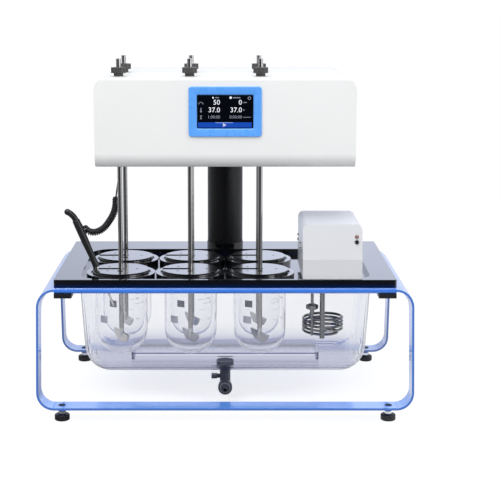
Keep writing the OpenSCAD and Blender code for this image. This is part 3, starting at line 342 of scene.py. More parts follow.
materials = {
    "blue_paint": finish("blue_paint", (0.085, 0.33, 1.0), 0.03, (0.16, 0.24), 500, 0.00003, 0.0006,
                         coat=1.0, coat_rough=0.06, ior=1.65),
    "deck_gloss": finish("deck_gloss", (0.0035, 0.0045, 0.0075), 0.15, (0.06, 0.12), 420, 0.00001, 0.0006,
                         coat=0.7, coat_rough=0.05, ior=1.6),
    "lid_gloss": finish("lid_gloss", (0.004, 0.0045, 0.0065), 0.15, (0.13, 0.2), 420, 0.00001, 0.0006,
                        coat=1.0, coat_rough=0.13, ior=1.8),
    "column_black": finish("column_black", (0.008, 0.0085, 0.010), 0.15, (0.34, 0.44), 900, 0.00002, 0.0006),
    "black_plastic": finish("black_plastic", (0.013, 0.013, 0.015), 0.2, (0.32, 0.5), 1100, 0.00004, 0.0004),
    "steel": finish("steel", (0.56, 0.55, 0.535), 0.05, (0.14, 0.24), 1500, 0.00001, 0.0003, metallic=1.0,
                    stretch=(1, 1, 0.02)),
    "shaft_steel": finish("shaft_steel", (0.56, 0.55, 0.535), 0.05, (0.14, 0.24), 1500, 0.00001, 0.0003,
                          metallic=1.0, stretch=(1, 1, 0.02)),
    # Painted shade: the heater coil takes a darker copy of the steel, for how dark it looks behind the bath's
    # walls
    "shaded_coil_steel": finish("shaded_coil_steel", (0.20, 0.20, 0.205), 0.08, (0.10, 0.2), 600, 0.00002, 0, metallic=1.0),
    # Painted shade: the heater's paint is a darker copy of the head's white paint, for the shade of the head
    # above it
    "shaded_heater_paint": finish("shaded_heater_paint", (0.665, 0.67, 0.685), 0.012, (0.34, 0.44), 900, 0.00004, 0.0008,
                           coat=0.6, coat_rough=0.22, patch=4),
    "white_paint": finish("white_paint", (0.80, 0.80, 0.785), 0.012, (0.38, 0.5), 900, 0.00005, 0.0008,
                          patch=4),
    "base_plate": finish("base_plate", (0.55, 0.56, 0.575), 0.03, (0.35, 0.5), 900, 0.00004, 0.0006),
    "motor_paint": finish("motor_paint", (0.02, 0.02, 0.022), 0.2, (0.4, 0.55), 700, 0.00005, 0.0006),
    "lamp_red": finish("lamp_red", (0.30, 0.045, 0.04), 0.08, (0.12, 0.2), 300, 0.00001, 0.0005, coat=1.0),
    "bezel_blue": finish("bezel_blue", (0.106, 0.36, 0.90), 0.008, (0.26, 0.31), 900, 0.00002, 0.0006,
                         coat=0.4),
    "screen_black": finish("screen_black", (0.0015, 0.0018, 0.004), 0.1, (0.1, 0.16), 300, 0.000005, 0.0003),
    "pulley_metal": finish("pulley_metal", (0.58, 0.585, 0.60), 0.05, (0.24, 0.36), 900, 0.00002, 0.0004,
                           metallic=1.0, stretch=(0.2, 0.2, 1)),
    "black_rubber": finish("black_rubber", (0.014, 0.014, 0.014), 0.2, (0.55, 0.7), 900, 0.00006, 0.0003),
    "cord_black": finish("cord_black", (0.013, 0.013, 0.015), 0.2, (0.34, 0.48), 1500, 0.00003, 0),
    "knob_grey": finish("knob_grey", (0.057, 0.053, 0.053), 0.12, (0.42, 0.55), 1200, 0.00005, 0.0005),
    "valve_grey": finish("valve_grey", (0.060, 0.062, 0.085), 0.12, (0.28, 0.4), 900, 0.00004, 0.0006),
    # Painted shade: the pump tube and sensor take a darker copy of the steel, for how dark they look behind
    # the bath's walls
    "shaded_bath_steel": finish("shaded_bath_steel", (0.18, 0.18, 0.185), 0.06, (0.12, 0.2), 900, 0.00001, 0.0003,
                        metallic=1.0),
    "chrome": finish("chrome", (0.82, 0.84, 0.87), 0.03, (0.06, 0.12), 900, 0.000005, 0.0003, metallic=1.0),
    "foot_black": finish("foot_black", (0.012, 0.012, 0.013), 0.2, (0.4, 0.55), 900, 0.00005, 0.0006),
    # Painted shade: the bath is tinted darker towards its bottom
    "clear_bath": clear("clear_bath", (1, 1, 1), 1.22, (0.0, 0.03), (0.88, 0.89, 0.92),
                        (0.60, 0.635, 0.80), 30,
                        ((0.086, (0.66, 0.67, 0.77), 0.1), (0.098, (0.88, 0.89, 0.93), 0.1),
                         (0.112, (0.99, 0.99, 0.995), 0.1), (0.128, (1, 1, 1), 0.0))),
    "vessel_glass": clear("vessel_glass", (1, 1, 1), 1.22, (0.0, 0.01), (0.96, 0.965, 0.975),
                          (0.55, 0.57, 0.70), 20),
    "print_grey": finish("print_grey", (0.33, 0.34, 0.38), 0.06, (0.5, 0.6), 600, 0.00001, 0),
    "print_pale": finish("print_pale", (0.66, 0.66, 0.68), 0.06, (0.5, 0.6), 600, 0.00001, 0),
    "glyph_white": glow("glyph_white", (0.92, 0.94, 1.0), 0.85),
    "glyph_dim": glow("glyph_dim", (0.42, 0.44, 0.55), 0.45),
    "bar_blue": glow("bar_blue", (0.004, 0.085, 0.60), 0.55),
    "bar_edge": glow("bar_edge", (0.22, 0.38, 0.90), 0.8),
}

# Blue paint is paler at a glancing look
sheen = principled_of(materials["blue_paint"]).inputs
sheen["Sheen Weight"].default_value = 0.35
sheen["Sheen Roughness"].default_value = 0.35
sheen["Sheen Tint"].default_value = (0.80, 0.82, 1.0, 1)

# Painted shade: cut edges of the blue sheet are darker, and so are the rolled beads along its top where they
# face front or back
BEAD_X, BEAD_Z = 0.3415, 0.25
tree = materials["blue_paint"].node_tree
facing, spot = facing_parts(tree), place_parts(tree)
across, ahead = link_math(tree, "ABSOLUTE", spot["X"]), link_math(tree, "ABSOLUTE", facing["Y"])
beside = link_math(tree, "GREATER_THAN", across, BEAD_X)
below = link_math(tree, "LESS_THAN", spot["Z"], BEAD_Z)
shaded_cut_edges = link_math(tree, "GREATER_THAN", ahead, 0.9)
overlay(materials["blue_paint"], link_math(tree, "MULTIPLY", shaded_cut_edges, link_math(tree, "MAXIMUM", beside, below)),
        (0.070, 0.19, 0.60))
along = link_math(tree, "LESS_THAN", across, BEAD_X)
above = link_math(tree, "GREATER_THAN", spot["Z"], BEAD_Z)
shaded_bead_faces = link_math(tree, "GREATER_THAN", ahead, 0.25)
overlay(materials["blue_paint"], link_math(tree, "MULTIPLY", shaded_bead_faces, link_math(tree, "MULTIPLY", along, above)),
        (0.045, 0.205, 0.76))

# Lower half of the deck's edge, above the blue bead, is dark blue
DECK_BAND = 5.5 * MM
deck_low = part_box("deck")[0]
tree = materials["deck_gloss"].node_tree
upright = link_math(tree, "LESS_THAN", link_math(tree, "ABSOLUTE", facing_parts(tree)["Z"]), 0.3)
band = link_math(tree, "LESS_THAN", place_parts(tree)["Z"], deck_low.z + DECK_BAND)
overlay(materials["deck_gloss"], link_math(tree, "MULTIPLY", upright, band), (0.001, 0.006, 0.040))

# Painted highlight: a pale ring on the front of the valve's union nut, where its edges catch the light
NUT_R, NUT_RING_R, NUT_RING_HALF = 14.5 * MM, 10.3 * MM, 0.9 * MM
nut_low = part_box("valve_body")[0]
tree = materials["valve_grey"].node_tree
spot = place_parts(tree)
rise = link_math(tree, "SUBTRACT", spot["Z"], nut_low.z + NUT_R)
squares = (link_math(tree, "MULTIPLY", side, side) for side in (spot["X"], rise))
away = link_math(tree, "SQRT", link_math(tree, "ADD", *squares))
painted_highlight_ring = link_math(tree, "COMPARE", away, NUT_RING_R)
painted_highlight_ring.node.inputs[2].default_value = NUT_RING_HALF
nut_front = link_math(tree, "LESS_THAN", facing_parts(tree)["Y"], -0.5)
overlay(materials["valve_grey"], link_math(tree, "MULTIPLY", nut_front, painted_highlight_ring), (0.26, 0.26, 0.30))

# Painted shade: the shafts are darker inside the vessels, and the blades there a little less dark
LID_Z, BLADE_Z = 0.27, 0.165
tree = materials["shaft_steel"].node_tree
height = place_parts(tree)["Z"]
overlay(materials["shaft_steel"], link_math(tree, "LESS_THAN", height, LID_Z), (0.34, 0.335, 0.33))
overlay(materials["shaft_steel"], link_math(tree, "LESS_THAN", height, BLADE_Z), (0.50, 0.495, 0.485))

# Lamp: dark red rim round a greyish middle
lamp_low, lamp_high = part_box("indicator_lamp")
lamp_r = (lamp_high.x - lamp_low.x) / 2
tree = materials["lamp_red"].node_tree
across = link_math(tree, "SUBTRACT", place_parts(tree)["X"], (lamp_low.x + lamp_high.x) / 2)
middle = link_math(tree, "LESS_THAN", link_math(tree, "ABSOLUTE", across), lamp_r * 0.55)
overlay(materials["lamp_red"], middle, (0.26, 0.20, 0.20))

slots = {s["node"]: s["material_slot"] for s in frame["record"]["subparts"]}
special = {"column_outer": "column_black", "deck": "deck_gloss", "heater_coil": "shaded_coil_steel",
           "vessel_rings": "lid_gloss", "heater_case": "shaded_heater_paint", "heater_panel": "shaded_heater_paint",
           "heater_button": "black_plastic",
           "valve_body": "valve_grey", "valve_nut": "valve_grey", "valve_lever": "valve_grey",
           "pump_tube": "shaded_bath_steel", "heater_sensor": "shaded_bath_steel"}
special.update({f"lid_{i}": "lid_gloss" for i in range(1, 7)})
special.update({f"shaft_{i}": "shaft_steel" for i in range(1, 7)})
for name, obj in nodes.items():
    obj.data.materials.clear()
    obj.data.materials.append(materials[special.get(name, slots[name])])


# Curly cord of the probe, along the same route as its solid


def spline(a, b, c, d, t):
    line = 2 * b + (c - a) * t
    return 0.5 * (line + (2 * a - 5 * b + 4 * c - d) * t * t + (3 * b - a - 3 * c + d) * t ** 3)


WIRE, CURL, CURL_FROM, STRAIGHT_END = 3.2, 15.0, 6.0, 63.0
SEAT_GAP = 0.2
FIRST_X, FIRST_Y = -213, -123
LID_R, LID_TOP = 57.5, 288.4
PROBE_LEAN = math.radians(23)
PROBE_L, PROBE_R, PROBE_INSET = 105, 7.8, 8
RELIEF_L = 16
BEND_STEP = 7
probe_dir = Vector((-math.sin(PROBE_LEAN), 0, math.cos(PROBE_LEAN)))
probe_foot = Vector((FIRST_X - LID_R + PROBE_INSET, FIRST_Y, LID_TOP + PROBE_R * math.sin(PROBE_LEAN) + 1))
probe_seam = probe_foot + PROBE_L * probe_dir
relief_dir = Vector((0.59, 0.47, -0.66))
relief_from = probe_seam + Vector((0, 3, 0)) - 2 * probe_dir
cord_start = relief_from + RELIEF_L * relief_dir
gland = Vector((-216, -75, 491.9))
cord_end = gland - Vector((0, 0, SEAT_GAP))
knots = [cord_start - 6 * relief_dir, cord_start + SEAT_GAP * relief_dir, cord_start + WIRE * relief_dir]
knots += [
    Vector(p)
    for p in (
        (-284.5, -106, 367), (-277.5, -105, 362), (-268, -104, 360.5), (-257.5, -102, 363.5),
        (-247, -100, 370.5), (-238.5, -97, 381.5), (-231, -94, 393.5), (-226.5, -91, 405.5),
        (-224.5, -88, 417.5), (-224.5, -85, 429),
    )
]
knots += [Vector((gland.x - 5.5, gland.y - 4, 453)), gland - Vector((0, 0, WIRE)), cord_end]
knots += [gland + Vector((0, 0, 6))]
route = [
    spline(knots[k - 1], knots[k], knots[k + 1], knots[k + 2], j / 12)
    for k in range(1, len(knots) - 2)
    for j in range(12)
] + [cord_end]
runs = [0.0]
for p, q in zip(route, route[1:]):
    runs.append(runs[-1] + (q - p).length)


def route_at(s):
    for i in range(1, len(runs)):
        if s <= runs[i] or i == len(runs) - 1:
            t = min(1.0, max(0.0, (s - runs[i - 1]) / (runs[i] - runs[i - 1])))
            return route[i - 1].lerp(route[i], t)


def bend_at(s):
    """Curvature of the route, from three points on it."""
    middle = min(max(s, BEND_STEP), runs[-1] - BEND_STEP)
    a, b, c = (route_at(middle + step) for step in (-BEND_STEP, 0, BEND_STEP))
    return 2 * ((b - a).normalized() - (c - b).normalized()).length / (c - a).length


RINGS = 24
CURL_R = (CURL - WIRE) / 2
curl_to = runs[-1] - STRAIGHT_END
curl_runs = [CURL_FROM]
while curl_runs[-1] < curl_to:
    pitch = WIRE * (1.05 + 0.08 * min(1, 3 * CURL_R * bend_at(curl_runs[-1])))
    curl_runs.append(curl_runs[-1] + pitch / RINGS)
steps = (len(curl_runs) - 1) // RINGS * RINGS
stretch = (curl_to - CURL_FROM) / (curl_runs[steps] - CURL_FROM)
axis_runs = [0.0, WIRE] + [CURL_FROM + stretch * (run - CURL_FROM) for run in curl_runs[:steps + 1]]
axis_runs += [curl_to + (runs[-1] - WIRE - curl_to) * k / 16 for k in range(1, 17)] + [runs[-1]]
axis_points = [route_at(s) for s in axis_runs]
cord_path = []
normal = Vector((0, 1, 0))
for i, p in enumerate(axis_points):
    t = (axis_points[min(i + 1, len(axis_points) - 1)] - axis_points[max(i - 1, 0)]).normalized()
    normal = (normal - normal.dot(t) * t).normalized()
    k = i - 2
    swell = 0 if k <= 0 or k >= steps else min(1, k / RINGS, (steps - k) / RINGS)
    a = 2 * math.pi * k / RINGS
    r = CURL_R * swell
    cord_path.append((p + r * (math.cos(a) * normal + math.sin(a) * t.cross(normal))) * MM)
cord = tube(cord_path, WIRE / 2 * MM, 12, "probe_curly_cord")
dress(cord, materials["cord_black"], None)
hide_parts("probe_cord")
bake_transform(cord)


# Screen: bezel with softened edges, and the picture on the display

screen_low, screen_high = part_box("screen_display")
bezel_low, bezel_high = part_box("screen_bezel")
screen_z = (screen_low.z + screen_high.z) / 2


def rounded(w, h, r, steps=6):
    points = []
    for cx, cz, start in ((1, 1, 0), (-1, 1, 90), (-1, -1, 180), (1, -1, 270)):
        for k in range(steps + 1):
            a = math.radians(start + 90 * k / steps)
            points.append((cx * (w / 2 - r) + r * math.cos(a), cz * (h / 2 - r) + r * math.sin(a)))
    return points


def ring_loft(loops, name):
    """Closed ring of equal loops of points, each joined to the next and the last to the first."""
    count = len(loops[0])
    verts = [v for loop in loops for v in loop]
    faces = []
    for i in range(len(loops)):
        j = (i + 1) % len(loops)
        for k in range(count):
            m = (k + 1) % count
            faces.append((i * count + k, i * count + m, j * count + m, j * count + k))
    return mesh_object(name, verts, faces)


outer_w, outer_h = bezel_high.x - bezel_low.x, bezel_high.z - bezel_low.z
inner_w, inner_h = screen_high.x - screen_low.x + 0.4 * MM, screen_high.z - screen_low.z + 0.4 * MM
front, back = bezel_low.y, bezel_high.y
profile = [
    (outer_w, outer_h, 6 * MM, back), (outer_w, outer_h, 6 * MM, front + 1.6 * MM),
    (outer_w - 0.9 * MM, outer_h - 0.9 * MM, 5.6 * MM, front + 0.5 * MM),
    (outer_w - 2.8 * MM, outer_h - 2.8 * MM, 4.7 * MM, front),
    (inner_w + 5.0 * MM, inner_h + 5.0 * MM, 4.2 * MM, front),
    (inner_w + 3.6 * MM, inner_h + 3.6 * MM, 3.6 * MM, front + 0.3 * MM),
    (inner_w, inner_h, 1.9 * MM, front + 2.2 * MM), (inner_w, inner_h, 1.9 * MM, back),
]
bezel = ring_loft(
    [[Vector((x, y, screen_z + z)) for x, z in rounded(w, h, r)] for w, h, r, y in profile], "screen_frame"
)
dress(bezel, materials["bezel_blue"], "head", 25)
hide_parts("screen_bezel")

PICTURE_Y = screen_low.y - 0.12 * MM


def at(u, v):
    """Place on the display from its left and lower edges, in millimetres of a 112 x 67 layout."""
    width, height = screen_high.x - screen_low.x, screen_high.z - screen_low.z
    return Vector((screen_low.x + u / 112 * width, PICTURE_Y, screen_low.z + v / 67 * height))


def plate(outline, name):
    """Thin flat plate on the display from an outline in display millimetres."""
    n = len(outline)
    front_loop = [at(u, v) for u, v in outline]
    back_loop = [p + Vector((0, 0.1 * MM, 0)) for p in front_loop]
    faces = [tuple(range(n))[::-1], tuple(range(n, 2 * n))]
    faces += [(k, (k + 1) % n, n + (k + 1) % n, n + k) for k in range(n)]
    return outward(mesh_object(name, front_loop + back_loop, faces))


def number(text, right, foot, height, name):
    curve = bpy.data.curves.new(name, "FONT")
    curve.body = text
    curve.size = height / 0.70 * MM
    curve.align_x = "RIGHT"
    curve.extrude = 0.05 * MM
    curve.resolution_u = 3
    obj = bpy.data.objects.new(name, curve)
    place = at(right, foot)
    obj.matrix_world = Matrix.Translation(place) @ Matrix.Rotation(math.radians(90), 4, "X")
    bpy.context.scene.collection.objects.link(obj)
    bpy.context.view_layer.update()
    return obj


def box_outline(u0, v0, u1, v1):
    return [(u0, v0), (u1, v0), (u1, v1), (u0, v1)]


def disc_outline(u, v, r, count=24):
    return [(u + r * math.cos(2 * math.pi * k / count), v + r * math.sin(2 * math.pi * k / count))
            for k in range(count)]


def arc_plates(u, v, r, t, start, end, count, name):
    outline = []
    for radius, order in ((r + t / 2, 1), (r - t / 2, -1)):
        for k in list(range(count + 1))[::order]:
            a = math.radians(start + (end - start) * k / count)
            outline.append((u + radius * math.cos(a), v + radius * math.sin(a)))
    return plate(outline, name)


bright = [
    number("50", 46.0, 48.0, 9.6, "n1"), number("0", 89.8, 48.0, 9.6, "n2"),
    number("37.0", 46.0, 32.6, 9.6, "n3"), number("37.0", 89.8, 32.6, 9.6, "n4"),
    plate(disc_outline(31.8, 62.0, 1.7), "dot1"), plate(disc_outline(67.0, 62.0, 2.4), "dot2"),
    plate([(51.6, 2.6), (58.6, 6.6), (51.6, 10.4)], "play"),
]
dress(join("screen_numbers", bright), materials["glyph_white"], "head")
dim = [
    number("1:00:00", 46.0, 20.0, 5.9, "n5"), number("0:00:00", 89.8, 20.0, 5.9, "n6"),
    plate(box_outline(36.5, 61.2, 43.5, 63.0), "label1"),
    plate(box_outline(71.5, 61.0, 86.5, 63.0), "label2"),
    plate(box_outline(92.5, 51.5, 99.5, 53.0), "unit1"), plate(box_outline(92.5, 36.0, 94.5, 38.5), "unit2"),
    plate(box_outline(92.5, 21.8, 107.5, 22.8), "unit3"),
    arc_plates(7.4, 49.4, 3.6, 1.0, 20, 160, 14, "stir"),
    plate([(3.2, 48.0), (4.6, 50.6), (2.0, 50.2)], "stir_left"),
    plate([(11.6, 48.0), (12.8, 50.2), (10.2, 50.6)], "stir_right"),
    plate(box_outline(6.8, 35.2, 8.4, 41.4), "thermometer"), plate(disc_outline(7.6, 34.0, 1.9), "bulb"),
    plate([(5.0, 25.6), (10.0, 25.6), (7.5, 22.2)], "sand_top"),
    plate([(5.0, 18.8), (7.5, 22.2), (10.0, 18.8)], "sand_low"),
    arc_plates(104.4, 61.0, 2.7, 1.3, 0, 350, 30, "settings"),
]
dress(join("screen_signs", dim), materials["glyph_dim"], "head")
dress(plate(box_outline(1.6, 1.4, 109.4, 12.0), "screen_bar"), materials["bar_blue"], "head")
edge_plate = plate(box_outline(36.5, 10.6, 72.0, 12.0), "screen_bar_edge")
for v in edge_plate.data.vertices:
    v.co.y -= 0.03 * MM
dress(edge_plate, materials["bar_edge"], "head")


# Prints on the glass vessels: a square patch, graduation lines and their numbers

VESSEL_R = 53.5
PITCH = 142
PLACES = [(FIRST_X + PITCH * column, FIRST_Y + PITCH * row) for row in range(2) for column in range(3)]
PATCH_Z, PATCH_W, PATCH_H = 193, 18.5, 14.5
MARKS = [(254.4, 12), (235.4, 16), (214.4, 12), (193.4, 16)]
MARK_T, NUMBER_H, NUMBER_TURN = 0.7, 4.2, 18
PATCH_TURN = [37, 37, 30, 29, 27, 25]
MARK_TURN = [-24, -26, -36, -35, -38, -40]


def on_glass(place, turn, across, z, lift=0.06):
    """Point on a vessel's outside; turn in degrees from the front to the left, across in mm to the right."""
    a = math.radians(turn) - across / VESSEL_R
    r = VESSEL_R + lift
    return Vector((place[0] - r * math.sin(a), place[1] - r * math.cos(a), z)) * MM


def print_patch(place, turn, z, w, h, name, count=8):
    verts, faces = [], []
    for lift in (0.04, 0.1):
        for row in (-h / 2, h / 2):
            verts += [on_glass(place, turn, w * (k / count - 0.5), z + row, lift) for k in range(count + 1)]
    n = count + 1
    for k in range(count):
        faces += [(k, k + 1, n + k + 1, n + k), (2 * n + k, 3 * n + k, 3 * n + k + 1, 2 * n + k + 1)]
        faces += [(k, 2 * n + k, 2 * n + k + 1, k + 1), (n + k, n + k + 1, 3 * n + k + 1, 3 * n + k)]
    faces += [(0, n, 3 * n, 2 * n), (count, 2 * n + count, 3 * n + count, n + count)]
    return outward(mesh_object(name, verts, faces))


def print_number(text, place, turn, z, height, name):
    """Number whose flat letters are bent onto the glass."""
    curve = bpy.data.curves.new(name, "FONT")
    curve.body = text
    curve.size = height / 0.70
    curve.align_x = "CENTER"
    curve.extrude = 0.03
    curve.resolution_u = 2
    flat = bpy.data.objects.new(name, curve)
    bpy.context.scene.collection.objects.link(flat)
    bpy.context.view_layer.update()
    mesh = bpy.data.meshes.new_from_object(flat.evaluated_get(bpy.context.evaluated_depsgraph_get()))
    for v in mesh.vertices:
        v.co = on_glass(place, turn, v.co.x, z + v.co.y, 0.07 + v.co.z)
    bpy.data.objects.remove(flat)
    obj = bpy.data.objects.new(name, mesh)
    bpy.context.scene.collection.objects.link(obj)
    return obj


patches, lines = [], []
for i, place in enumerate(PLACES):
    turn = MARK_TURN[i]
    patches.append(print_patch(place, PATCH_TURN[i], PATCH_Z, PATCH_W, PATCH_H, f"patch{i}"))
    for j, (z, w) in enumerate(MARKS):
        lines.append(print_patch(place, turn, z, w, MARK_T, f"line{i}{j}", 6))
    for text, z in (("900", 233.8), ("500", 191.8)):
        lines.append(print_number(text, place, turn - NUMBER_TURN, z, NUMBER_H, f"number{i}{text}"))
dress(join("vessel_patches", patches), materials["print_grey"], "base")
dress(join("vessel_marks", lines), materials["print_pale"], "base")


# Pieces with a finer form than their solids: probe handle, sensor, corner blocks and valve lever


def prism(outline, x0, x1, name):
    """Closed bar along X from an outline of (y, z) points, in millimetres."""
    n = len(outline)
    verts = [Vector((x, y, z)) * MM for x in (x0, x1) for y, z in outline]
    faces = [tuple(range(n)), tuple(range(n, 2 * n))]
    faces += [(k, (k + 1) % n, n + (k + 1) % n, n + k) for k in range(n)]
    return outward(mesh_object(name, verts, faces))


def standing(profile, sides, x, y, name):
    """Turned piece about a vertical axis, from (radius, height) points in millimetres."""
    obj = turned([(r * MM, z * MM) for r, z in profile], sides, name)
    obj.matrix_world = Matrix.Translation((x * MM, y * MM, 0))
    return obj


ELBOW_BEND_R, ELBOW_R, ELBOW_TURN, BALL_R = 34, 6.2, 42, 6.5
GRIP = [(0, 0), (7.5, 0), (7.1, 4), (6.6, 12), (6.4, 18), (6.4, 26), (6.7, 34), (7.2, 46), (PROBE_R, 58),
        (PROBE_R, 91), (7.7, PROBE_L - 1), (7.3, PROBE_L - 0.3), (0, PROBE_L - 0.3)]
handle = turned([(r * MM, z * MM) for r, z in GRIP], 48, "handle")
arc = [math.radians(ELBOW_TURN * k / 12) for k in range(13)]
elbow_path = [
    Vector((ELBOW_BEND_R * (math.cos(a) - 1), 0, PROBE_L - 1 + ELBOW_BEND_R * math.sin(a))) * MM
    for a in arc
]
elbow = tube(elbow_path, ELBOW_R * MM, 32, "elbow")
meridian = [math.radians(a) for a in range(0, 181, 10)]
ball = turned([(BALL_R * MM * math.sin(a), -BALL_R * MM * math.cos(a)) for a in meridian], 32, "ball")
ball.location = elbow_path[-1]
relief = turned([(0, 0), (5.6 * MM, 0), (2.7 * MM, RELIEF_L * MM), (0, RELIEF_L * MM)], 32, "relief")
bpy.context.view_layer.update()
lean = Matrix.Translation(probe_foot * MM) @ Matrix.Rotation(-PROBE_LEAN, 4, "Y")
for piece in (handle, elbow, ball):
    piece.matrix_world = lean @ piece.matrix_world
relief_turn = relief_dir.to_track_quat("Z", "Y").to_matrix().to_4x4()
relief.matrix_world = Matrix.Translation(relief_from * MM) @ relief_turn
bpy.context.view_layer.update()
probe = outward(join("probe_grip", [handle, elbow, ball, relief]))
dress(probe, materials["black_plastic"], "lid_1", 35)
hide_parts("probe_handle")

sensor_low, sensor_high = (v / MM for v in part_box("heater_sensor"))
sensor_x, sensor_y = (sensor_low.x + sensor_high.x) / 2, (sensor_low.y + sensor_high.y) / 2
rod_foot, rod_top = sensor_low.z, sensor_high.z
ROD_R, SLEEVE_R, SLEEVE_HALF = 3, 4.5, 11
HEX_R, HEX_DROP, HEX_H = 12.5, 69, 9
hex_z = rod_top - HEX_DROP
SENSOR = [
    ("rod", 24, [(0, rod_foot), (ROD_R - 0.4, rod_foot), (ROD_R, rod_foot + 0.6), (ROD_R, rod_top),
                 (0, rod_top)]),
    ("sleeve", 24, [(0, hex_z - SLEEVE_HALF), (SLEEVE_R - 0.4, hex_z - SLEEVE_HALF),
                    (SLEEVE_R, hex_z - SLEEVE_HALF + 0.6), (SLEEVE_R, hex_z + SLEEVE_HALF),
                    (0, hex_z + SLEEVE_HALF)]),
    ("hexagon", 6, [(0, hex_z), (HEX_R - 1.1, hex_z), (HEX_R, hex_z + 1), (HEX_R, hex_z + HEX_H - 1),
                    (HEX_R - 1.1, hex_z + HEX_H), (0, hex_z + HEX_H)]),
]
sensor = [standing(outline, sides, sensor_x, sensor_y, name) for name, sides, outline in SENSOR]
bpy.context.view_layer.update()
dress(join("sensor_rod", sensor), materials["shaded_bath_steel"], "base", 25)
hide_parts("heater_sensor")

clamp_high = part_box("deck_clamps")[1] / MM
CLAMP_W, CLAMP_D, CLAMP_FOOT, LIP_Z = 35, 27, 245.6, 254.2
deck_front, clamp_back = -deck_low.y / MM, clamp_high.y - CLAMP_D
CLAMP = [(clamp_back, CLAMP_FOOT), (deck_front, CLAMP_FOOT), (deck_front, LIP_Z), (clamp_high.y, LIP_Z),
         (clamp_high.y, clamp_high.z), (clamp_back, clamp_high.z)]
clamps = [
    prism([(y * a, b) for a, b in CLAMP], x * (clamp_high.x - CLAMP_W), x * clamp_high.x, f"clamp{x}{y}")
    for x in (-1, 1)
    for y in (-1, 1)
]
clamp_blocks = join("clamp_blocks", clamps)
dress(clamp_blocks, materials["black_plastic"], "base")
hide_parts("deck_clamps")

lever_low, lever_high = (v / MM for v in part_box("valve_lever"))
lever_y, lever_z = (lever_low.y + lever_high.y) / 2, (lever_low.z + lever_high.z) / 2
LEVER_L, LEVER_H, LEVER_FROM, LEVER_TO = 24, 7, -28.5, -16.5
HUB_R, HUB_TO, PIN_R, PIN_FROM = 4.5, -11.3, 3, -12
round_end = [math.radians(a) for a in range(-90, 91, 15)]
capsule = [
    (lever_y + end * (LEVER_L / 2 - LEVER_H / 2 * (1 - math.cos(a))),
     lever_z + end * LEVER_H / 2 * math.sin(a))
    for end in (1, -1)
    for a in round_end
]
full_turn = [2 * math.pi * k / 24 for k in range(24)]
hub, pin = (
    [(lever_y + r * math.cos(a), lever_z + r * math.sin(a)) for a in full_turn]
    for r in (HUB_R, PIN_R)
)
lever = join("lever_grip", [
    prism(capsule, LEVER_FROM, LEVER_TO, "grip"),
    prism(hub, LEVER_TO - 1, HUB_TO, "hub"),
    prism(pin, PIN_FROM, lever_high.x, "pin"),
])
dress(lever, materials["valve_grey"], "valve_lever", 30)
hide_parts("valve_lever")


# Button-head screws on the heater's left side


def screw(name, head_r, head_h):
    profile = [(0, 0), (head_r, 0), (head_r, head_h * 0.35)]
    profile += [
        (head_r * math.cos(math.radians(a)), head_h * (0.35 + 0.65 * math.sin(math.radians(a))))
        for a in range(15, 76, 15)
    ]
    profile += [(head_r * 0.45, head_h), (head_r * 0.42, head_h * 0.45), (0, head_h * 0.4)]
    return turned(profile, 24, name)


case_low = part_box("heater_case")[0]
SCREW_R, SCREW_H = 2.6, 2.2
SCREW_TURN = Matrix.Rotation(math.radians(-90), 4, "Y")
SCREWS = [(y, z) for y in (-29, -119) for z in (343, 333.2)]
screws = []
for k, (y, z) in enumerate(SCREWS):
    head = screw(f"screw{k}", SCREW_R * MM, SCREW_H * MM)
    head.matrix_world = Matrix.Translation((case_low.x, y * MM, z * MM)) @ SCREW_TURN
    screws.append(head)
bpy.context.view_layer.update()
dress(join("heater_screws", screws), materials["steel"], "base", 30)


# Steel sleeves on the frame's weld nuts, and black rings round the studs: painted shade of the holes in its
# bars


def turned_ring(x, y, profile, name, count=40):
    """Ring about a vertical axis from a closed outline of (radius, height) points, in millimetres."""
    angles = [2 * math.pi * k / count for k in range(count)]
    loops = [[Vector((x + r * math.cos(a), y + r * math.sin(a), z)) * MM for a in angles] for r, z in profile]
    return outward(ring_loft(loops, name))


SLEEVE = [(6.25, 13.0), (7.0, 13.0), (7.6, 13.6), (7.6, 18.8), (7.0, 19.4), (6.25, 19.4)]
HOLE_SHADE = [(4.6, 30.0), (7.2, 30.0), (7.2, 30.6), (6.8, 31.0), (4.9, 31.0), (4.6, 30.7)]
FEET = [(x, y) for x in (-326.5, 326.5) for y in (-219, 219)]
sleeves = [turned_ring(x, y, SLEEVE, f"sleeve{i}") for i, (x, y) in enumerate(FEET)]
dress(join("foot_sleeves", sleeves), materials["chrome"], "base", 30)
hole_shades = [turned_ring(x, y, HOLE_SHADE, f"hole_shade{i}") for i, (x, y) in enumerate(FEET)]
dress(join("foot_hole_shades", hole_shades), materials["foot_black"], "base", 30)


# Studio: white floor that keeps a faint shadow, white surroundings and soft lamps


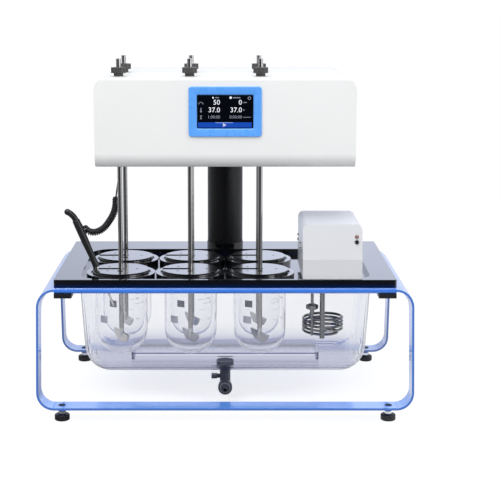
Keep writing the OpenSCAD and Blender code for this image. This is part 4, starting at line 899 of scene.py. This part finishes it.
def surround(tree, vector):
    """What gloss meets by direction: dark in front, a window on the right, pale walls behind and above."""
    unit = tree.nodes.new("ShaderNodeVectorMath")
    unit.operation = "NORMALIZE"
    tree.links.new(vector, unit.inputs[0])
    parts = tree.nodes.new("ShaderNodeSeparateXYZ")
    tree.links.new(unit.outputs["Vector"], parts.inputs["Vector"])
    forward = link_math(tree, "MULTIPLY", parts.outputs["Y"], -1.0)
    turn = link_math(tree, "ARCTAN2", parts.outputs["X"], forward)
    share = link_math(tree, "MULTIPLY_ADD", turn, 0.5 / math.pi)
    share.node.inputs[2].default_value = 0.5
    ramp = tree.nodes.new("ShaderNodeValToRGB")
    stops = [(-180, (0.97, 1.04, 1.25)), (-173, (0.80, 0.86, 1.04)), (-130, (0.52, 0.54, 0.58)),
             (-80, (0.32, 0.32, 0.33)), (-35, (0.10, 0.10, 0.11)), (-12, (0.02, 0.025, 0.035)),
             (18, (0.02, 0.025, 0.035)), (38, (0.45, 0.46, 0.48)), (62, (0.95, 0.96, 0.98)),
             (100, (0.80, 0.81, 0.84)), (140, (0.62, 0.65, 0.72)), (173, (0.97, 1.04, 1.25)),
             (180, (0.97, 1.04, 1.25))]
    elements = ramp.color_ramp.elements
    for angle, colour in stops[1:-1]:
        elements.new(angle / 360 + 0.5).color = (*colour, 1)
    elements[0].color = (*stops[0][1], 1)
    elements[len(stops) - 1].color = (*stops[-1][1], 1)
    tree.links.new(share, ramp.inputs["Fac"])
    up = tree.nodes.new("ShaderNodeMapRange")
    up.inputs["From Min"].default_value = 0.25
    up.inputs["From Max"].default_value = 0.75
    tree.links.new(parts.outputs["Z"], up.inputs["Value"])
    mix = tree.nodes.new("ShaderNodeMix")
    mix.data_type = "RGBA"
    tree.links.new(up.outputs["Result"], mix.inputs["Factor"])
    tree.links.new(ramp.outputs["Color"], mix.inputs["A"])
    mix.inputs["B"].default_value = (0.95, 0.96, 1.0, 1)
    return mix.outputs["Result"]


def mixed(tree, factor, first, second):
    mix = tree.nodes.new("ShaderNodeMixShader")
    tree.links.new(factor, mix.inputs["Fac"])
    tree.links.new(first, mix.inputs[1])
    tree.links.new(second, mix.inputs[2])
    return mix.outputs["Shader"]


def mirror_ray(tree, path):
    """1 for a ray that gloss mirrors, and 0 for one that goes through glass."""
    through = path.outputs["Is Transmission Ray"]
    return link_math(tree, "SUBTRACT", path.outputs["Is Glossy Ray"], through, clamp=True)


floor = mesh_object("floor", [(-30, -30, 0), (30, -30, 0), (30, 30, 0), (-30, 30, 0)], [(0, 1, 2, 3)])
floor_material = bpy.data.materials.new("floor")
floor_material.use_nodes = True
tree = floor_material.node_tree
tree.nodes.clear()
output = tree.nodes.new("ShaderNodeOutputMaterial")
matte = tree.nodes.new("ShaderNodeBsdfDiffuse")
matte.inputs["Color"].default_value = (0.95, 0.955, 0.97, 1)
white = tree.nodes.new("ShaderNodeEmission")
white.inputs["Strength"].default_value = 3.0
path = tree.nodes.new("ShaderNodeLightPath")
dim = tree.nodes.new("ShaderNodeBsdfDiffuse")
dim.inputs["Color"].default_value = (0.56, 0.565, 0.58, 1)
bounce = mixed(tree, path.outputs["Is Diffuse Ray"], matte.outputs["BSDF"], dim.outputs["BSDF"])
wash = link_math(tree, "MULTIPLY", path.outputs["Is Camera Ray"], 0.2)
shown = mixed(tree, wash, bounce, white.outputs["Emission"])

# The shadow shows under the bath and fades outside it
SHADOW_Y, SHADOW_RX, SHADOW_RY = 0.06, 0.36, 0.2
paper = tree.nodes.new("ShaderNodeEmission")
spot = tree.nodes.new("ShaderNodeMapping")
spot.inputs["Location"].default_value = (0, -SHADOW_Y / SHADOW_RY, 0)
spot.inputs["Scale"].default_value = (1 / SHADOW_RX, 1 / SHADOW_RY, 0)
tree.links.new(tree.nodes.new("ShaderNodeTexCoord").outputs["Object"], spot.inputs["Vector"])
far = tree.nodes.new("ShaderNodeVectorMath")
far.operation = "LENGTH"
tree.links.new(spot.outputs["Vector"], far.inputs[0])
fade = tree.nodes.new("ShaderNodeMapRange")
fade.inputs["From Min"].default_value = 0.6
fade.inputs["From Max"].default_value = 1.1
fade.inputs["To Max"].default_value = 0.85
tree.links.new(far.outputs["Value"], fade.inputs["Value"])
outside = link_math(tree, "MULTIPLY", path.outputs["Is Camera Ray"], fade.outputs["Result"])
shown = mixed(tree, outside, shown, paper.outputs["Emission"])
through = link_math(tree, "MULTIPLY", path.outputs["Is Transmission Ray"], 0.85)
shown = mixed(tree, through, shown, paper.outputs["Emission"])
mirrored = tree.nodes.new("ShaderNodeEmission")
place = tree.nodes.new("ShaderNodeTexCoord")
tree.links.new(surround(tree, place.outputs["Object"]), mirrored.inputs["Color"])
bounced = mirror_ray(tree, path)
glossy = mixed(tree, bounced, shown, mirrored.outputs["Emission"])
tree.links.new(glossy, output.inputs["Surface"])
floor.data.materials.append(floor_material)

world = bpy.data.worlds.new("studio")
world.use_nodes = True
bpy.context.scene.world = world
tree = world.node_tree
tree.nodes.clear()
output = tree.nodes.new("ShaderNodeOutputWorld")
seen_white = tree.nodes.new("ShaderNodeBackground")
seen_white.inputs["Color"].default_value = (1, 1, 1, 1)
ambient = tree.nodes.new("ShaderNodeBackground")
ambient.inputs["Color"].default_value = (0.95, 0.97, 1.0, 1)
ambient.inputs["Strength"].default_value = 0.62
mirrored = tree.nodes.new("ShaderNodeBackground")
place = tree.nodes.new("ShaderNodeTexCoord")
tree.links.new(surround(tree, place.outputs["Generated"]), mirrored.inputs["Color"])
path = tree.nodes.new("ShaderNodeLightPath")
seen = link_math(tree, "ADD", path.outputs["Is Camera Ray"], path.outputs["Is Transmission Ray"], True)
shown = mixed(tree, seen, ambient.outputs["Background"], seen_white.outputs["Background"])
bounced = mirror_ray(tree, path)
glossy = mixed(tree, bounced, shown, mirrored.outputs["Background"])
tree.links.new(glossy, output.inputs["Surface"])


def lamp(name, place, target, size, power, colour):
    data = bpy.data.lights.new(name, "AREA")
    data.shape = "RECTANGLE"
    data.size, data.size_y = size
    data.energy = power
    data.color = colour
    obj = bpy.data.objects.new(name, data)
    obj.location = place
    obj.rotation_euler = (Vector(target) - Vector(place)).to_track_quat("-Z", "Y").to_euler()
    obj.visible_camera = False
    bpy.context.scene.collection.objects.link(obj)


lamp("key", (-1.3, -1.9, 2.3), (0, 0, 0.35), (1.4, 1.4), 24, (1.0, 0.99, 0.97))
lamp("top", (0, -0.95, 2.3), (0, -0.1, 0.3), (1.8, 1.4), 24, (0.98, 0.99, 1.0))
lamp("fill", (1.8, -1.6, 1.3), (0, 0, 0.35), (1.2, 1.6), 12, (0.97, 0.98, 1.0))

scene = bpy.context.scene
scene.view_settings.view_transform = "Standard"
scene.cycles.max_bounces = 40
scene.cycles.transmission_bounces = 36
scene.cycles.transparent_max_bounces = 40
scene.cycles.glossy_bounces = 8
scene.cycles.diffuse_bounces = 4
